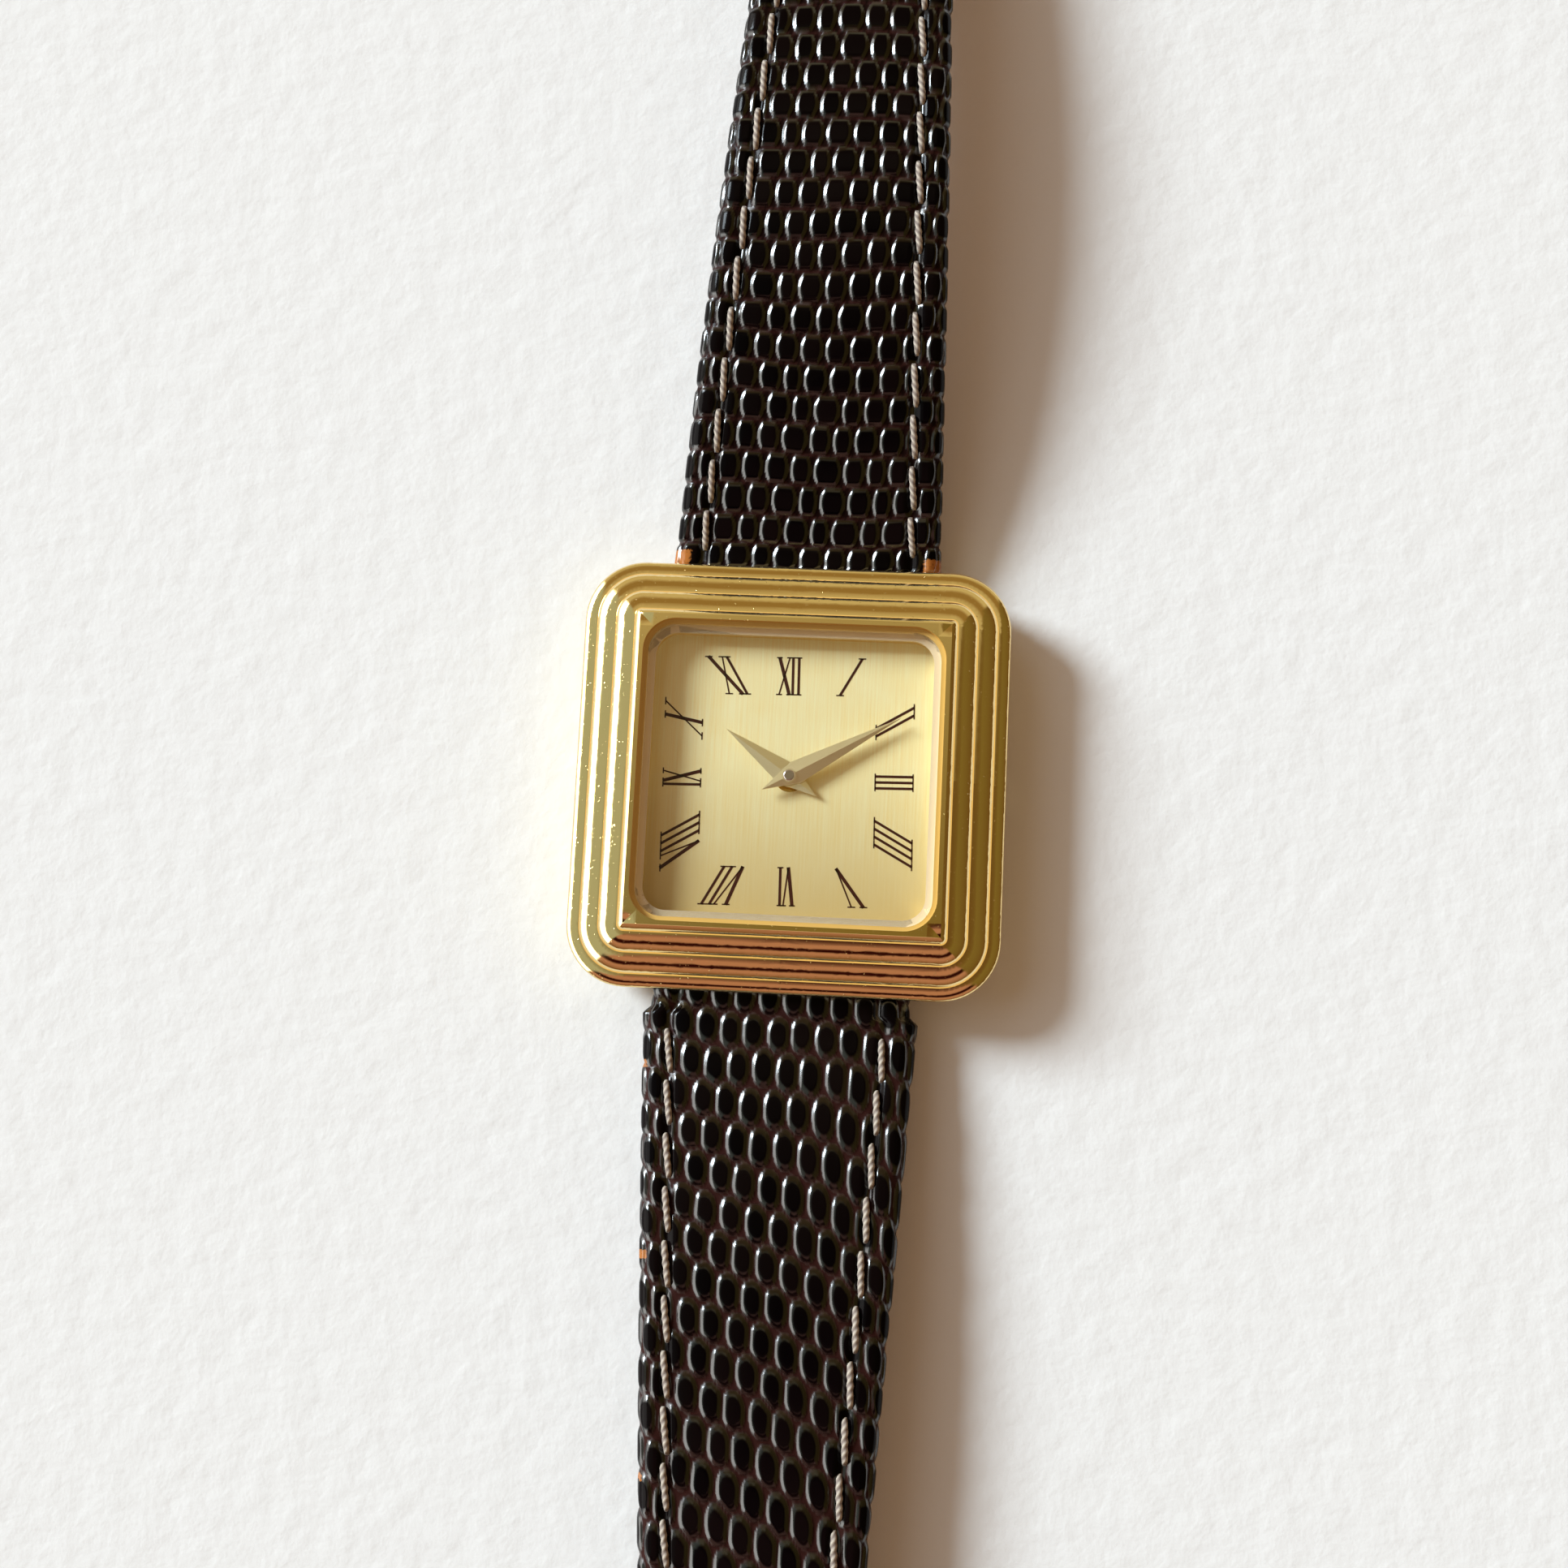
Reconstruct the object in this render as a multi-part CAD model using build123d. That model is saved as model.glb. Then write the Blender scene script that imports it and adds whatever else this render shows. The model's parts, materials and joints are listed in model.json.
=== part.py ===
# Square quartz wristwatch with a stepped gold case on a two-piece leather strap.
#
# Millimetres. The origin is the centre of the case back's outer face, +Z points out of the dial,
# +Y towards 12 o'clock and +X towards 3 o'clock. The watch lies on its back, and both strap
# halves rise from the case in a low arch and come down to the surface that it lies on.
import os
from math import cos, hypot, pi, radians, sin

from build123d import *

os.makedirs("parts", exist_ok=True)

# Case: a rim and three swelling steps, with one section all round
movement_r = 8.68
movement_clear = 0.07
holder_wall = 0.65
cavity_half = movement_r + movement_clear + holder_wall
case_wall = 4.1
case_half = cavity_half + case_wall
corner_r = 3.8
rim_edge_z = 3.96
rim_z = 4.3
rim_width = 0.80
step_count = 3
step_pitch = 1.28
step_rise = 0.72
swell_share = 0.56
swell_lean_share = 0.04
underside_z = 0.55
underside_inset = 2.3
underside_half = case_half - underside_inset
skirt_foot_inset = 0.15
skirt_foot_z = 1.9
skirt_foot_round = 0.5
top_z = rim_z + step_count * step_rise

# Case, inside
cavity_r = 1.6
ledge_under_z = 4.85
ledge_z = 5.2
ledge_reach = 0.68
opening_half = cavity_half - ledge_reach
opening_r = 1.45
seat_width = 0.70
glass_seat_half = opening_half + seat_width
glass_seat_r = 2.05
rebate_width = 0.35
rebate_half = cavity_half + rebate_width
rebate_depth = 0.25
overrun = 1.0

# Glass and its gasket
gasket_wall = 0.28
gasket_foot = 0.20
gasket_top_drop = 0.50
glass_z = ledge_z + gasket_foot
glass_thick = 0.88
glass_bevel_run = 0.42
glass_bevel_drop = 0.30
glass_half = glass_seat_half - gasket_wall
glass_r = glass_seat_r - gasket_wall

# Dial and the ring over it
dial_z = 4.0
dial_thick = 0.30
dial_clear = 0.15
dial_hole_r = 0.95
dial_foot_r = 0.35
dial_foot_z = 2.9
dial_feet = ((6.3, 4.4), (-6.3, -4.4))
dial_ring_wall = 0.62
holder_clear = 0.05

# Case back
back_thick = 0.55
back_lap = 0.15
back_half = rebate_half + back_lap
back_r = 2.2
back_edge_round = 0.3
lip_clear = 0.08
lip_wall = 0.6
lip_z = 1.35
pry_notch_half = 1.6
pry_notch_depth = 0.25
gasket_ring_wall = 0.35

# Lugs, spring bars and the room for the strap ends
lug_gap = 16.6
bay_depth = 3.3
bay_wall_y = case_half - bay_depth
bay_roof_z = 3.3
bar_inset = 1.9
bar_y = case_half - bar_inset
bar_z = 1.8
bar_r = 0.65
bar_clear = 0.05
bar_end_gap = 0.4
tip_r = 0.38
tip_reach = 0.75
tip_hole_depth = 0.9
tip_shoulder = 0.25
tip_shoulder_r = 0.5

# Crown, stem and their bay in the case's right side
stem_z = 1.85
stem_r = 0.42
stem_start_x = 2.9
stem_square = 0.44
stem_square_end_x = 6.4
groove_x = 7.6
groove_width = 0.50
groove_r = 0.20
crown_bay_depth = 2.0
crown_bay_x = case_half - crown_bay_depth
crown_bay_half = 1.95
crown_bay_roof_z = 3.65
crown_gap = 0.25
crown_r = 1.5
crown_length = 1.5
crown_flutes = 24
crown_flute_depth = 0.12
crown_round = 0.2
crown_socket_r = 0.95
crown_socket_depth = 0.8
tube_r = 0.80
tube_bore_r = 0.50
tube_inset = 0.9
tube_stand = 0.35
seal_r = 0.92
seal_length = 0.3

# Movement
holder_z = 1.35
holder_bore_r = movement_r + movement_clear
stem_slot_half = 0.75
plate_r = movement_r
plate_z = 2.5
plate_thick = 0.8
bridge_z = 0.85
bridge_thick = 0.35
bridge_reach = 1.25
pivot_r = 0.10
arbor_r = 0.15
pivot_clear = 0.03
pivot_reach = 0.25
pillar_r = 0.6
pillars = ((4.7, 1.6), (5.2, 4.2), (-2.1, 3.2))
screw_head_r = 0.48
screw_head = 0.14
screw_slot = 0.12
plate_top_z = plate_z + plate_thick
bridge_top_z = bridge_z + bridge_thick

# Wheels: teeth, modules and levels
addendum_share = 1.0
dedendum_share = 1.25
root_half_share = 0.285
tip_half_share = 0.095
wheel_thick = 0.20
pinion_thick = 0.30
centre_teeth = 24
third_pinion_teeth = 8
third_teeth = 30
step_pinion_teeth = 6
step_wheel_teeth = 36
rotor_teeth = 6
cannon_teeth = 10
minute_wheel_teeth = 30
minute_pinion_teeth = 8
hour_teeth = 32
centre_module = 0.14
third_module = 0.125
step_module = 0.10
motion_module = 0.12
third_bearing = 60
step_bearing = 45
rotor_bearing = 150
minute_wheel_bearing = 135
centre_level = 2.15
third_level = 1.32
step_level = 1.70
pinion_lap = 0.05

# Centre stack: arbor, cannon pinion, hour wheel
centre_arbor_r = 0.20
slip_clear = 0.02
centre_foot_r = 0.15
plate_hole_r = 0.55
cannon_r = 0.36
cannon_low_z = 2.6
cannon_shoulder_z = 4.93
spigot_r = 0.28
spigot_z = 5.13
centre_pin_r = 0.36
centre_pin_low_z = spigot_z + slip_clear
centre_pin_z = 5.27
pin_dome_share = 3 / 4
motion_gear_z = 3.38
motion_gear_thick = 0.25
hour_gear_z = 3.72
hour_gear_thick = 0.2
hour_bore_r = 0.40
hour_pipe_r = 0.55
hour_pipe_z = 4.77
post_r = 0.22
post_clear = 0.04
post_z = 3.95

# Hands, showing ten past ten
hour_angle = 304.6
minute_angle = 60.2
hour_length = 4.97
hour_tail = 2.1
hour_width = 1.55
hour_hand_z = 4.60
minute_length = 7.8
minute_tail = 1.92
minute_width = 1.45
minute_hand_z = 4.93
hand_widest_share = 0.06
hand_edge = 0.06
hand_ridge = 0.16
hand_boss_wall = 0.14

# Stepping motor
magnet_r = 0.72
magnet_thick = 0.5
magnet_z = 1.95
stator_bore_r = 0.95
stator_eye_r = 1.5
stator_z = 2.05
stator_thick = 0.3
stator_arm = 0.8
stator_arm_y = 5.3
coil_y = 6.9
coil_r = 0.72
coil_half = 3.0
core_r = 0.35
core_half = 3.9
core_end_half = 0.5
coil_z = 1.68

# Electronics and battery
battery_x = -4.0
battery_y = -4.0
battery_r = 2.9
battery_cap_r = 2.3
battery_thick = 1.6
battery_cap = 0.3
battery_gap = 0.03
clamp_thick = 0.12
clamp_width = 1.8
clamp_screw_x = -6.9
clamp_screw_y = 1.2
clamp_post_r = 0.7
board_z = 2.2
board_thick = 0.27
board_r = 8.3
board_low_x = -0.7
board_top_y = -1.7
chip_x = 3.2
chip_y = -3.3
chip_side = 1.9
chip_thick = 0.5
can_x = 2.6
can_y = -6.1
can_r = 0.68
can_length = 5.0
can_edge_round = 0.15

# Setting work
pinion_x = 4.3
pinion_length = 1.3
pinion_teeth = 14
pinion_module = 0.076
pinion_hub_r = 0.36
pinion_waist_share = 0.45
square_clear = 0.02
lever_pivot_x = 8.0
lever_pivot_y = 2.0
lever_pin_r = 0.24
lever_r = 0.48
lever_z = 1.7
lever_thick = 0.3
lever_tip_y = 0.29
lever_tip_half = 0.12
lever_root_half = 0.35
lever_clear = 0.04

# Strap halves, along a side line: straight runs and arcs (length or radius, turn in degrees)
strap_thick = 2.30
strap_body_thick = 2.40
lining_thick = 0.60
neck_side_gap = 0.15
neck_half = lug_gap / 2 - neck_side_gap
body_half = 8.65
end_half = 6.0
loop_clear = 0.05
rise_12_r = 8.0
rise_12_angle = 17.0
arch_12_r = 105.0
fall_12_angle = 11.0
neck_12 = 2.3
body_gap = 0.25
body_12_y = case_half + body_gap
taper_12_end_y = 61.5
drift_12_start = 0.35
drift_12 = 2.0
run_12 = 20.0
end_12_thick = 1.85
rise_6_r = 10.0
rise_6_angle = 8.0
arch_6_r = 213.0
fall_6_angle = 6.0
neck_6 = 3.4
body_6_y = 14.9
taper_6_end_y = 62.2
slope_6 = 10.3
landing_6_r = 150.0
run_6 = 29.0
end_6_thick = 1.8
tip_length = 8.5
hole_r = 0.8
hole_count = 6
hole_pitch = 6.0
first_hole_to_tip = 22.0

# Keepers, in places measured back from the buckle bar along the strap
keeper_wall = 0.7
keeper_width = 4.4
keeper_round = 0.6
keeper_inner_round = 0.08
keeper_side_gap = 0.20
keeper_under_gap = 0.10
keeper_room = 2.0
fixed_keeper_at = 4.1
keeper_spacing = 0.4

# Buckle
buckle_bar_r = 0.55
buckle_bar_clear = 0.05
buckle_loop_r = 0.95
ear_r = 0.98
ear_gap = 0.3
ear_width = 1.5
buckle_reach = 8.6
buckle_rod = 1.6
buckle_rod_round = 0.45
buckle_corner_r = 3.0
tongue_width = 1.3
tongue_loop_width = 1.7
tongue_slot_gap = 0.3
tongue_slot_reach = 2.8
tongue_thick = 0.9
tongue_seat_drop = 0.5
tongue_gap = 0.05
tongue_overhang = 0.5
tongue_round = 0.25


# Shapes that several pieces share

def block(half, radius, low, high):
    """A square block with rounded corners, centred on the case axis."""
    side = 2 * half
    return Pos(0, 0, low) * extrude(RectangleRounded(side, side, radius), high - low)


def disc(x, y, low, high, radius):
    """A round pin or disc that stands along Z."""
    return Pos(x, y, low) * Cylinder(radius, high - low, align=(Align.CENTER, Align.CENTER, Align.MIN))


def rod(start_x, end_x, y, z, radius):
    """A round rod that lies along X."""
    lying = Rot(0, 90, 0) * Cylinder(radius, end_x - start_x, align=(Align.CENTER, Align.CENTER, Align.MIN))
    return Pos(start_x, y, z) * lying


def cuboid(low, high):
    """A plain box between two corners."""
    size = [b - a for a, b in zip(low, high)]
    middle = [(a + b) / 2 for a, b in zip(low, high)]
    return Pos(*middle) * Box(*size)


def at_bearing(origin, distance, bearing):
    """The point at a distance and bearing, in degrees from +X, from another point."""
    return (origin[0] + distance * cos(radians(bearing)), origin[1] + distance * sin(radians(bearing)))


def mesh_distance(teeth_a, teeth_b, module):
    return (teeth_a + teeth_b) * module / 2


def tooth_outline(teeth, module, phase):
    """Straight-sided teeth: tooth 0 points at the phase angle, in degrees from +X."""
    pitch_r = teeth * module / 2
    tip_r = pitch_r + addendum_share * module
    root_r = pitch_r - dedendum_share * module
    corners = ((root_r, -root_half_share), (tip_r, -tip_half_share), (tip_r, tip_half_share), (root_r, root_half_share))
    points = []
    for tooth in range(teeth):
        for radius, share in corners:
            angle = radians(phase) + 2 * pi * (tooth + share) / teeth
            points.append((radius * cos(angle), radius * sin(angle)))
    return make_face(Polyline(*points, close=True))


def gear(place, teeth, module, low, thick, phase):
    return Pos(place[0], place[1], low) * extrude(tooth_outline(teeth, module, phase), thick)


def gap_phase(bearing, teeth):
    """The phase that puts a tooth gap towards the wheel that lies at the opposite bearing."""
    return bearing + 180 + 180 / teeth


# Wheel places
centre_place = (0, 0)
third_place = at_bearing(centre_place, mesh_distance(centre_teeth, third_pinion_teeth, centre_module), third_bearing)
step_place = at_bearing(third_place, mesh_distance(third_teeth, step_pinion_teeth, third_module), step_bearing)
rotor_place = at_bearing(step_place, mesh_distance(step_wheel_teeth, rotor_teeth, step_module), rotor_bearing)
minute_wheel_place = at_bearing(
    centre_place, mesh_distance(cannon_teeth, minute_wheel_teeth, motion_module), minute_wheel_bearing
)


# Case

def swell(start, end):
    """A quarter-oval edge that leaves its start nearly upright and lands level."""
    (x, z), (end_x, end_z) = start, end
    width, rise = x - end_x, end_z - z
    upright = (x - swell_lean_share * width, z + swell_share * rise)
    level = (end_x + swell_share * width, end_z)
    return Bezier(start, upright, level, end)


def case_section():
    """Half of the case's outer section, from the case axis out to the rim and up over the swelling steps."""
    under = (underside_half, underside_z)
    skirt_foot = (case_half - skirt_foot_inset, skirt_foot_z)
    crest = (case_half - rim_width, rim_z)
    rim_edge = (case_half, rim_edge_z)
    edges = [Line((0, underside_z), under), Line(under, skirt_foot), Line(skirt_foot, rim_edge), swell(rim_edge, crest)]
    for _ in range(step_count):
        next_crest = (crest[0] - step_pitch, crest[1] + step_rise)
        edges.append(swell(crest, next_crest))
        crest = next_crest
    edges.append(Line(crest, (0, top_z)))
    edges.append(Line((0, top_z), (0, underside_z)))
    face = make_face(edges)
    foot = min(face.vertices(), key=lambda v: hypot(v.X - skirt_foot[0], v.Y - skirt_foot[1]))
    return Plane.XZ * fillet(foot, skirt_foot_round)


def stepped_solid():
    """The section run along both pairs of sides and turned round the four corners."""
    half_section = case_section()
    section = half_section + mirror(half_section, about=Plane.YZ)
    side_half = case_half - corner_r
    along_y = extrude(section, amount=side_half, both=True)
    solid = along_y + Rot(0, 0, 90) * along_y
    past_corner_centre = Pos(side_half + case_half, 0, top_z / 2) * Box(2 * case_half, overrun, 2 * top_z)
    corner_face = half_section & past_corner_centre
    quarter = revolve(Pos(-side_half, 0, 0) * corner_face, axis=Axis.Z, revolution_arc=90)
    for turn in range(4):
        solid += Rot(0, 0, 90 * turn) * (Pos(side_half, side_half, 0) * quarter)
    return solid.clean()


def strap_bay(side):
    """The room between a pair of lugs, under the rim."""
    low = (-lug_gap / 2, bay_wall_y, -overrun)
    high = (lug_gap / 2, case_half + overrun, bay_roof_z)
    bay = cuboid(low, high)
    return bay if side > 0 else Rot(0, 0, 180) * bay


def stepped_case():
    solid = stepped_solid()
    solid -= block(cavity_half, cavity_r, underside_z - overrun, ledge_under_z)
    solid -= block(opening_half, opening_r, ledge_under_z - overrun, top_z + overrun)
    solid -= block(glass_seat_half, glass_seat_r, ledge_z, top_z + overrun)
    solid -= block(rebate_half, cavity_r, underside_z - overrun, underside_z + rebate_depth)
    for side in (1, -1):
        solid -= strap_bay(side)
        hole_reach = lug_gap / 2 + tip_hole_depth
        solid -= rod(-hole_reach, hole_reach, side * bar_y, bar_z, tip_r + bar_clear)
    solid -= cuboid(
        (crown_bay_x, -crown_bay_half, underside_z - overrun),
        (case_half + overrun, crown_bay_half, crown_bay_roof_z),
    )
    solid -= rod(cavity_half - overrun, crown_bay_x + overrun, 0, stem_z, tube_r)
    return solid


def glass_gasket():
    """An L-section ring: its foot under the glass, its wall round it."""
    ring = block(glass_seat_half, glass_seat_r, ledge_z, top_z - gasket_top_drop)
    ring -= block(glass_half, glass_r, glass_z, top_z + overrun)
    return ring - block(opening_half, opening_r, ledge_z - overrun, top_z + overrun)


def crystal():
    plate = block(glass_half, glass_r, glass_z, glass_z + glass_thick)
    rim_edges = plate.faces().sort_by(Axis.Z)[-1].edges()
    return chamfer(rim_edges, glass_bevel_drop, glass_bevel_run)


def dial():
    half = cavity_half - dial_clear
    plate = block(half, cavity_r - dial_clear, dial_z, dial_z + dial_thick)
    plate -= disc(0, 0, dial_z - overrun, dial_z + overrun, dial_hole_r)
    for x, y in dial_feet:
        plate += disc(x, y, dial_foot_z, dial_z, dial_foot_r)
    return plate


def dial_ring():
    low, high = dial_z + dial_thick, ledge_under_z
    inner = cavity_half - dial_ring_wall
    ring = block(cavity_half - holder_clear, cavity_r - holder_clear, low, high)
    return ring - block(inner, opening_r, low - overrun, high + overrun)


def case_back():
    plate = block(back_half, back_r, 0, back_thick)
    plate = fillet(plate.faces().sort_by(Axis.Z)[0].edges(), back_edge_round)
    lip_half = cavity_half - lip_clear
    lip = block(lip_half, cavity_r - lip_clear, back_thick, lip_z)
    lip -= block(lip_half - lip_wall, cavity_r - lip_clear - lip_wall, back_thick, lip_z)
    notch = cuboid(
        (-back_half - overrun, -pry_notch_half, back_thick - pry_notch_depth),
        (-back_half + pry_notch_depth, pry_notch_half, back_thick + overrun),
    )
    return plate + lip - notch


def back_gasket():
    low, high = back_thick, underside_z + rebate_depth
    ring = block(rebate_half - holder_clear, cavity_r - holder_clear, low, high)
    inner = rebate_half - gasket_ring_wall
    return ring - block(inner, cavity_r - holder_clear, low - overrun, high + overrun)


# Movement

def movement_holder():
    low, high = holder_z, dial_z
    ring = block(cavity_half - holder_clear, cavity_r - holder_clear, low, high)
    ring -= disc(0, 0, low - overrun, high + overrun, holder_bore_r)
    return ring - cuboid(
        (0, -stem_slot_half, low - overrun), (cavity_half + overrun, stem_slot_half, stem_z + stem_slot_half)
    )


def main_plate():
    plate = disc(0, 0, plate_z, plate_top_z, plate_r)
    plate -= disc(0, 0, plate_z - overrun, plate_top_z + overrun, plate_hole_r)
    for x, y in dial_feet:
        plate -= disc(x, y, dial_foot_z, plate_top_z + overrun, dial_foot_r + holder_clear)
    for x, y in (third_place, step_place, rotor_place):
        plate -= disc(x, y, plate_z - overrun, plate_z + pivot_reach, pivot_r + pivot_clear)
    for x, y in pillars:
        plate += disc(x, y, bridge_top_z, plate_z, pillar_r)
    plate += disc(*minute_wheel_place, plate_top_z, post_z, post_r)
    plate += disc(lever_pivot_x, lever_pivot_y, lever_z - pivot_reach, plate_z, lever_pin_r)
    return plate + disc(clamp_screw_x, clamp_screw_y, bridge_z, plate_z, clamp_post_r)


def train_bridge():
    circles = [Pos(x, y) * Circle(bridge_reach) for x, y in (centre_place, third_place, step_place, rotor_place)]
    circles += [Pos(x, y) * Circle(pillar_r) for x, y in pillars]
    outline = make_hull([edge for circle in circles for edge in circle.edges()])
    plate = Pos(0, 0, bridge_z) * extrude(outline, bridge_thick)
    for x, y in (third_place, step_place, rotor_place):
        plate -= disc(x, y, bridge_top_z - pivot_reach, bridge_top_z + overrun, pivot_r + pivot_clear)
    return plate - disc(0, 0, bridge_top_z - pivot_reach, bridge_top_z + overrun, centre_foot_r + pivot_clear)


def slotted_head(x, y, under_z):
    """A screw head that sits below a face, with its slot on the outside."""
    head = disc(x, y, under_z - screw_head, under_z, screw_head_r)
    slot = cuboid(
        (x - screw_head_r - overrun, y - screw_slot / 2, under_z - screw_head),
        (x + screw_head_r + overrun, y + screw_slot / 2, under_z - screw_head / 2),
    )
    return head - slot


def bridge_screws():
    return Compound(children=[slotted_head(x, y, bridge_z) for x, y in pillars])


def arbor(place, low, high):
    """A wheel's shaft, with thin pivots at both ends."""
    x, y = place
    shaft = disc(x, y, low, high, arbor_r)
    return shaft + disc(x, y, low - pivot_reach + pivot_clear, high + pivot_reach - pivot_clear, pivot_r)


def centre_wheel():
    """The wheel that turns once an hour; the cannon pinion slips on its arbor, which ends in the centre pin."""
    wheel = gear(centre_place, centre_teeth, centre_module, centre_level, wheel_thick, third_bearing)
    wheel += disc(0, 0, bridge_top_z + pivot_clear, centre_pin_low_z, centre_arbor_r)
    wheel += disc(0, 0, bridge_top_z - pivot_reach + pivot_clear, bridge_top_z + overrun, centre_foot_r)
    pin = disc(0, 0, centre_pin_low_z, centre_pin_z, centre_pin_r)
    pin = fillet(pin.faces().sort_by(Axis.Z)[-1].edges(), (centre_pin_z - centre_pin_low_z) * pin_dome_share)
    return wheel + pin


def cannon_pinion():
    tube = disc(0, 0, cannon_low_z, cannon_shoulder_z, cannon_r)
    tube += gear(centre_place, cannon_teeth, motion_module, motion_gear_z, motion_gear_thick, minute_wheel_bearing)
    tube += disc(0, 0, cannon_shoulder_z, spigot_z, spigot_r)
    return tube - disc(0, 0, cannon_low_z - overrun, spigot_z + overrun, centre_arbor_r + slip_clear)


def hour_wheel():
    wheel = gear(centre_place, hour_teeth, motion_module, hour_gear_z, hour_gear_thick, minute_wheel_bearing)
    wheel += disc(0, 0, hour_gear_z, hour_pipe_z, hour_pipe_r)
    return wheel - disc(0, 0, hour_gear_z - overrun, hour_pipe_z + overrun, hour_bore_r)


def minute_wheel():
    """The motion work's lay wheel: a wheel on the cannon pinion, a pinion on the hour wheel."""
    x, y = minute_wheel_place
    wheel_phase = gap_phase(minute_wheel_bearing, minute_wheel_teeth)
    pinion_phase = gap_phase(minute_wheel_bearing, minute_pinion_teeth)
    low = motion_gear_z
    high = hour_gear_z + hour_gear_thick
    wheel = gear(minute_wheel_place, minute_wheel_teeth, motion_module, low, motion_gear_thick, wheel_phase)
    wheel += gear(minute_wheel_place, minute_pinion_teeth, motion_module, low, high - low, pinion_phase)
    return wheel - disc(x, y, low - overrun, high + overrun, post_r + post_clear)


def third_wheel():
    pinion_phase = gap_phase(third_bearing, third_pinion_teeth)
    wheel = gear(third_place, third_teeth, third_module, third_level, wheel_thick, step_bearing)
    pinion_low = centre_level - pinion_lap
    wheel += gear(third_place, third_pinion_teeth, centre_module, pinion_low, pinion_thick, pinion_phase)
    return wheel + arbor(third_place, bridge_top_z + pivot_clear, plate_z - pivot_clear)


def step_wheel():
    pinion_phase = gap_phase(step_bearing, step_pinion_teeth)
    wheel = gear(step_place, step_wheel_teeth, step_module, step_level, wheel_thick, rotor_bearing)
    pinion_low = third_level - pinion_lap
    wheel += gear(step_place, step_pinion_teeth, third_module, pinion_low, pinion_thick, pinion_phase)
    return wheel + arbor(step_place, bridge_top_z + pivot_clear, plate_z - pivot_clear)


def rotor():
    """The motor's magnet and its pinion."""
    phase = gap_phase(rotor_bearing, rotor_teeth)
    body = gear(rotor_place, rotor_teeth, step_module, step_level - pinion_lap, pinion_thick, phase)
    body += disc(*rotor_place, magnet_z, magnet_z + magnet_thick, magnet_r)
    return body + arbor(rotor_place, bridge_top_z + pivot_clear, plate_z - pivot_clear)


def stator():
    """A flat iron yoke with an eye round the rotor and two arms to the ends of the coil core."""
    x, y = rotor_place
    eye = disc(x, y, stator_z, stator_z + stator_thick, stator_eye_r)
    arm_half = stator_arm / 2
    plate = eye + cuboid(
        (-core_half, stator_arm_y, stator_z), (core_half, stator_arm_y + stator_arm, stator_z + stator_thick)
    )
    for end_x in (-core_half + arm_half, core_half - arm_half):
        plate += cuboid(
            (end_x - arm_half, stator_arm_y, stator_z), (end_x + arm_half, coil_y, stator_z + stator_thick)
        )
    return plate - disc(x, y, stator_z - overrun, stator_z + overrun, stator_bore_r)


def coil_core():
    """The iron bar through the coil, with square ends that meet the stator's arms from below."""
    core = rod(-core_half, core_half, coil_y, coil_z, core_r)
    for side in (-1, 1):
        ends = sorted((side * coil_half, side * core_half))
        core += cuboid(
            (ends[0], coil_y - core_end_half, coil_z - core_r), (ends[1], coil_y + core_r, stator_z)
        )
    return core


def coil_winding():
    return rod(-coil_half, coil_half, coil_y, coil_z, coil_r) - rod(-coil_half, coil_half, coil_y, coil_z, core_r)


def circuit_board():
    disc_part = disc(0, 0, board_z, board_z + board_thick, board_r)
    corner = cuboid(
        (board_low_x, -board_r, board_z), (board_r, board_top_y, board_z + board_thick)
    )
    return disc_part & corner


def circuit_chip():
    side = chip_side / 2
    return cuboid((chip_x - side, chip_y - side, board_z - chip_thick), (chip_x + side, chip_y + side, board_z))


def quartz_can():
    z = board_z - can_r
    can = rod(can_x - can_length / 2, can_x + can_length / 2, can_y, z, can_r)
    return fillet(can.faces().sort_by(Axis.X)[-1].edges(), can_edge_round)


def battery():
    top = plate_z - battery_gap
    low = top - battery_thick
    cell = disc(battery_x, battery_y, low + battery_cap, top, battery_r)
    return cell + disc(battery_x, battery_y, low, low + battery_cap, battery_cap_r)


def battery_clamp():
    """A sprung strip from its screw over the battery."""
    low = bridge_z - clamp_thick
    ends = [Pos(x, y) * Circle(clamp_width / 2) for x, y in ((battery_x, battery_y), (clamp_screw_x, clamp_screw_y))]
    outline = make_hull([edge for end in ends for edge in end.edges()])
    return Pos(0, 0, low) * extrude(outline, clamp_thick)


def clamp_screw():
    return slotted_head(clamp_screw_x, clamp_screw_y, bridge_z - clamp_thick)


# Crown and setting work

def crown():
    """The winding button: a fluted rim, a domed end and a socket over the tube."""
    start = crown_bay_x + crown_gap
    body = rod(start, start + crown_length, 0, stem_z, crown_r)
    body = fillet(body.edges().filter_by(GeomType.CIRCLE).sort_by(Axis.X)[-1], crown_round)
    for flute in range(crown_flutes):
        angle = 360 * flute / crown_flutes
        y, z = at_bearing((0, stem_z), crown_r, angle)
        body -= rod(start - overrun, start + crown_length - crown_round, y, z, crown_flute_depth)
    return body - rod(start - overrun, start + crown_socket_depth, 0, stem_z, crown_socket_r)


def stem():
    """The shaft from the crown to the movement: a square, a shank and the lever's groove."""
    end = crown_bay_x + crown_gap + crown_socket_depth
    shaft = rod(stem_square_end_x, end, 0, stem_z, stem_r)
    side = stem_square / 2
    shaft += cuboid((stem_start_x, -side, stem_z - side), (stem_square_end_x, side, stem_z + side))
    groove_low = groove_x - groove_width / 2
    groove_high = groove_x + groove_width / 2
    ring = rod(groove_low, groove_high, 0, stem_z, stem_r + overrun)
    return shaft - (ring - rod(groove_low, groove_high, 0, stem_z, groove_r))


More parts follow.
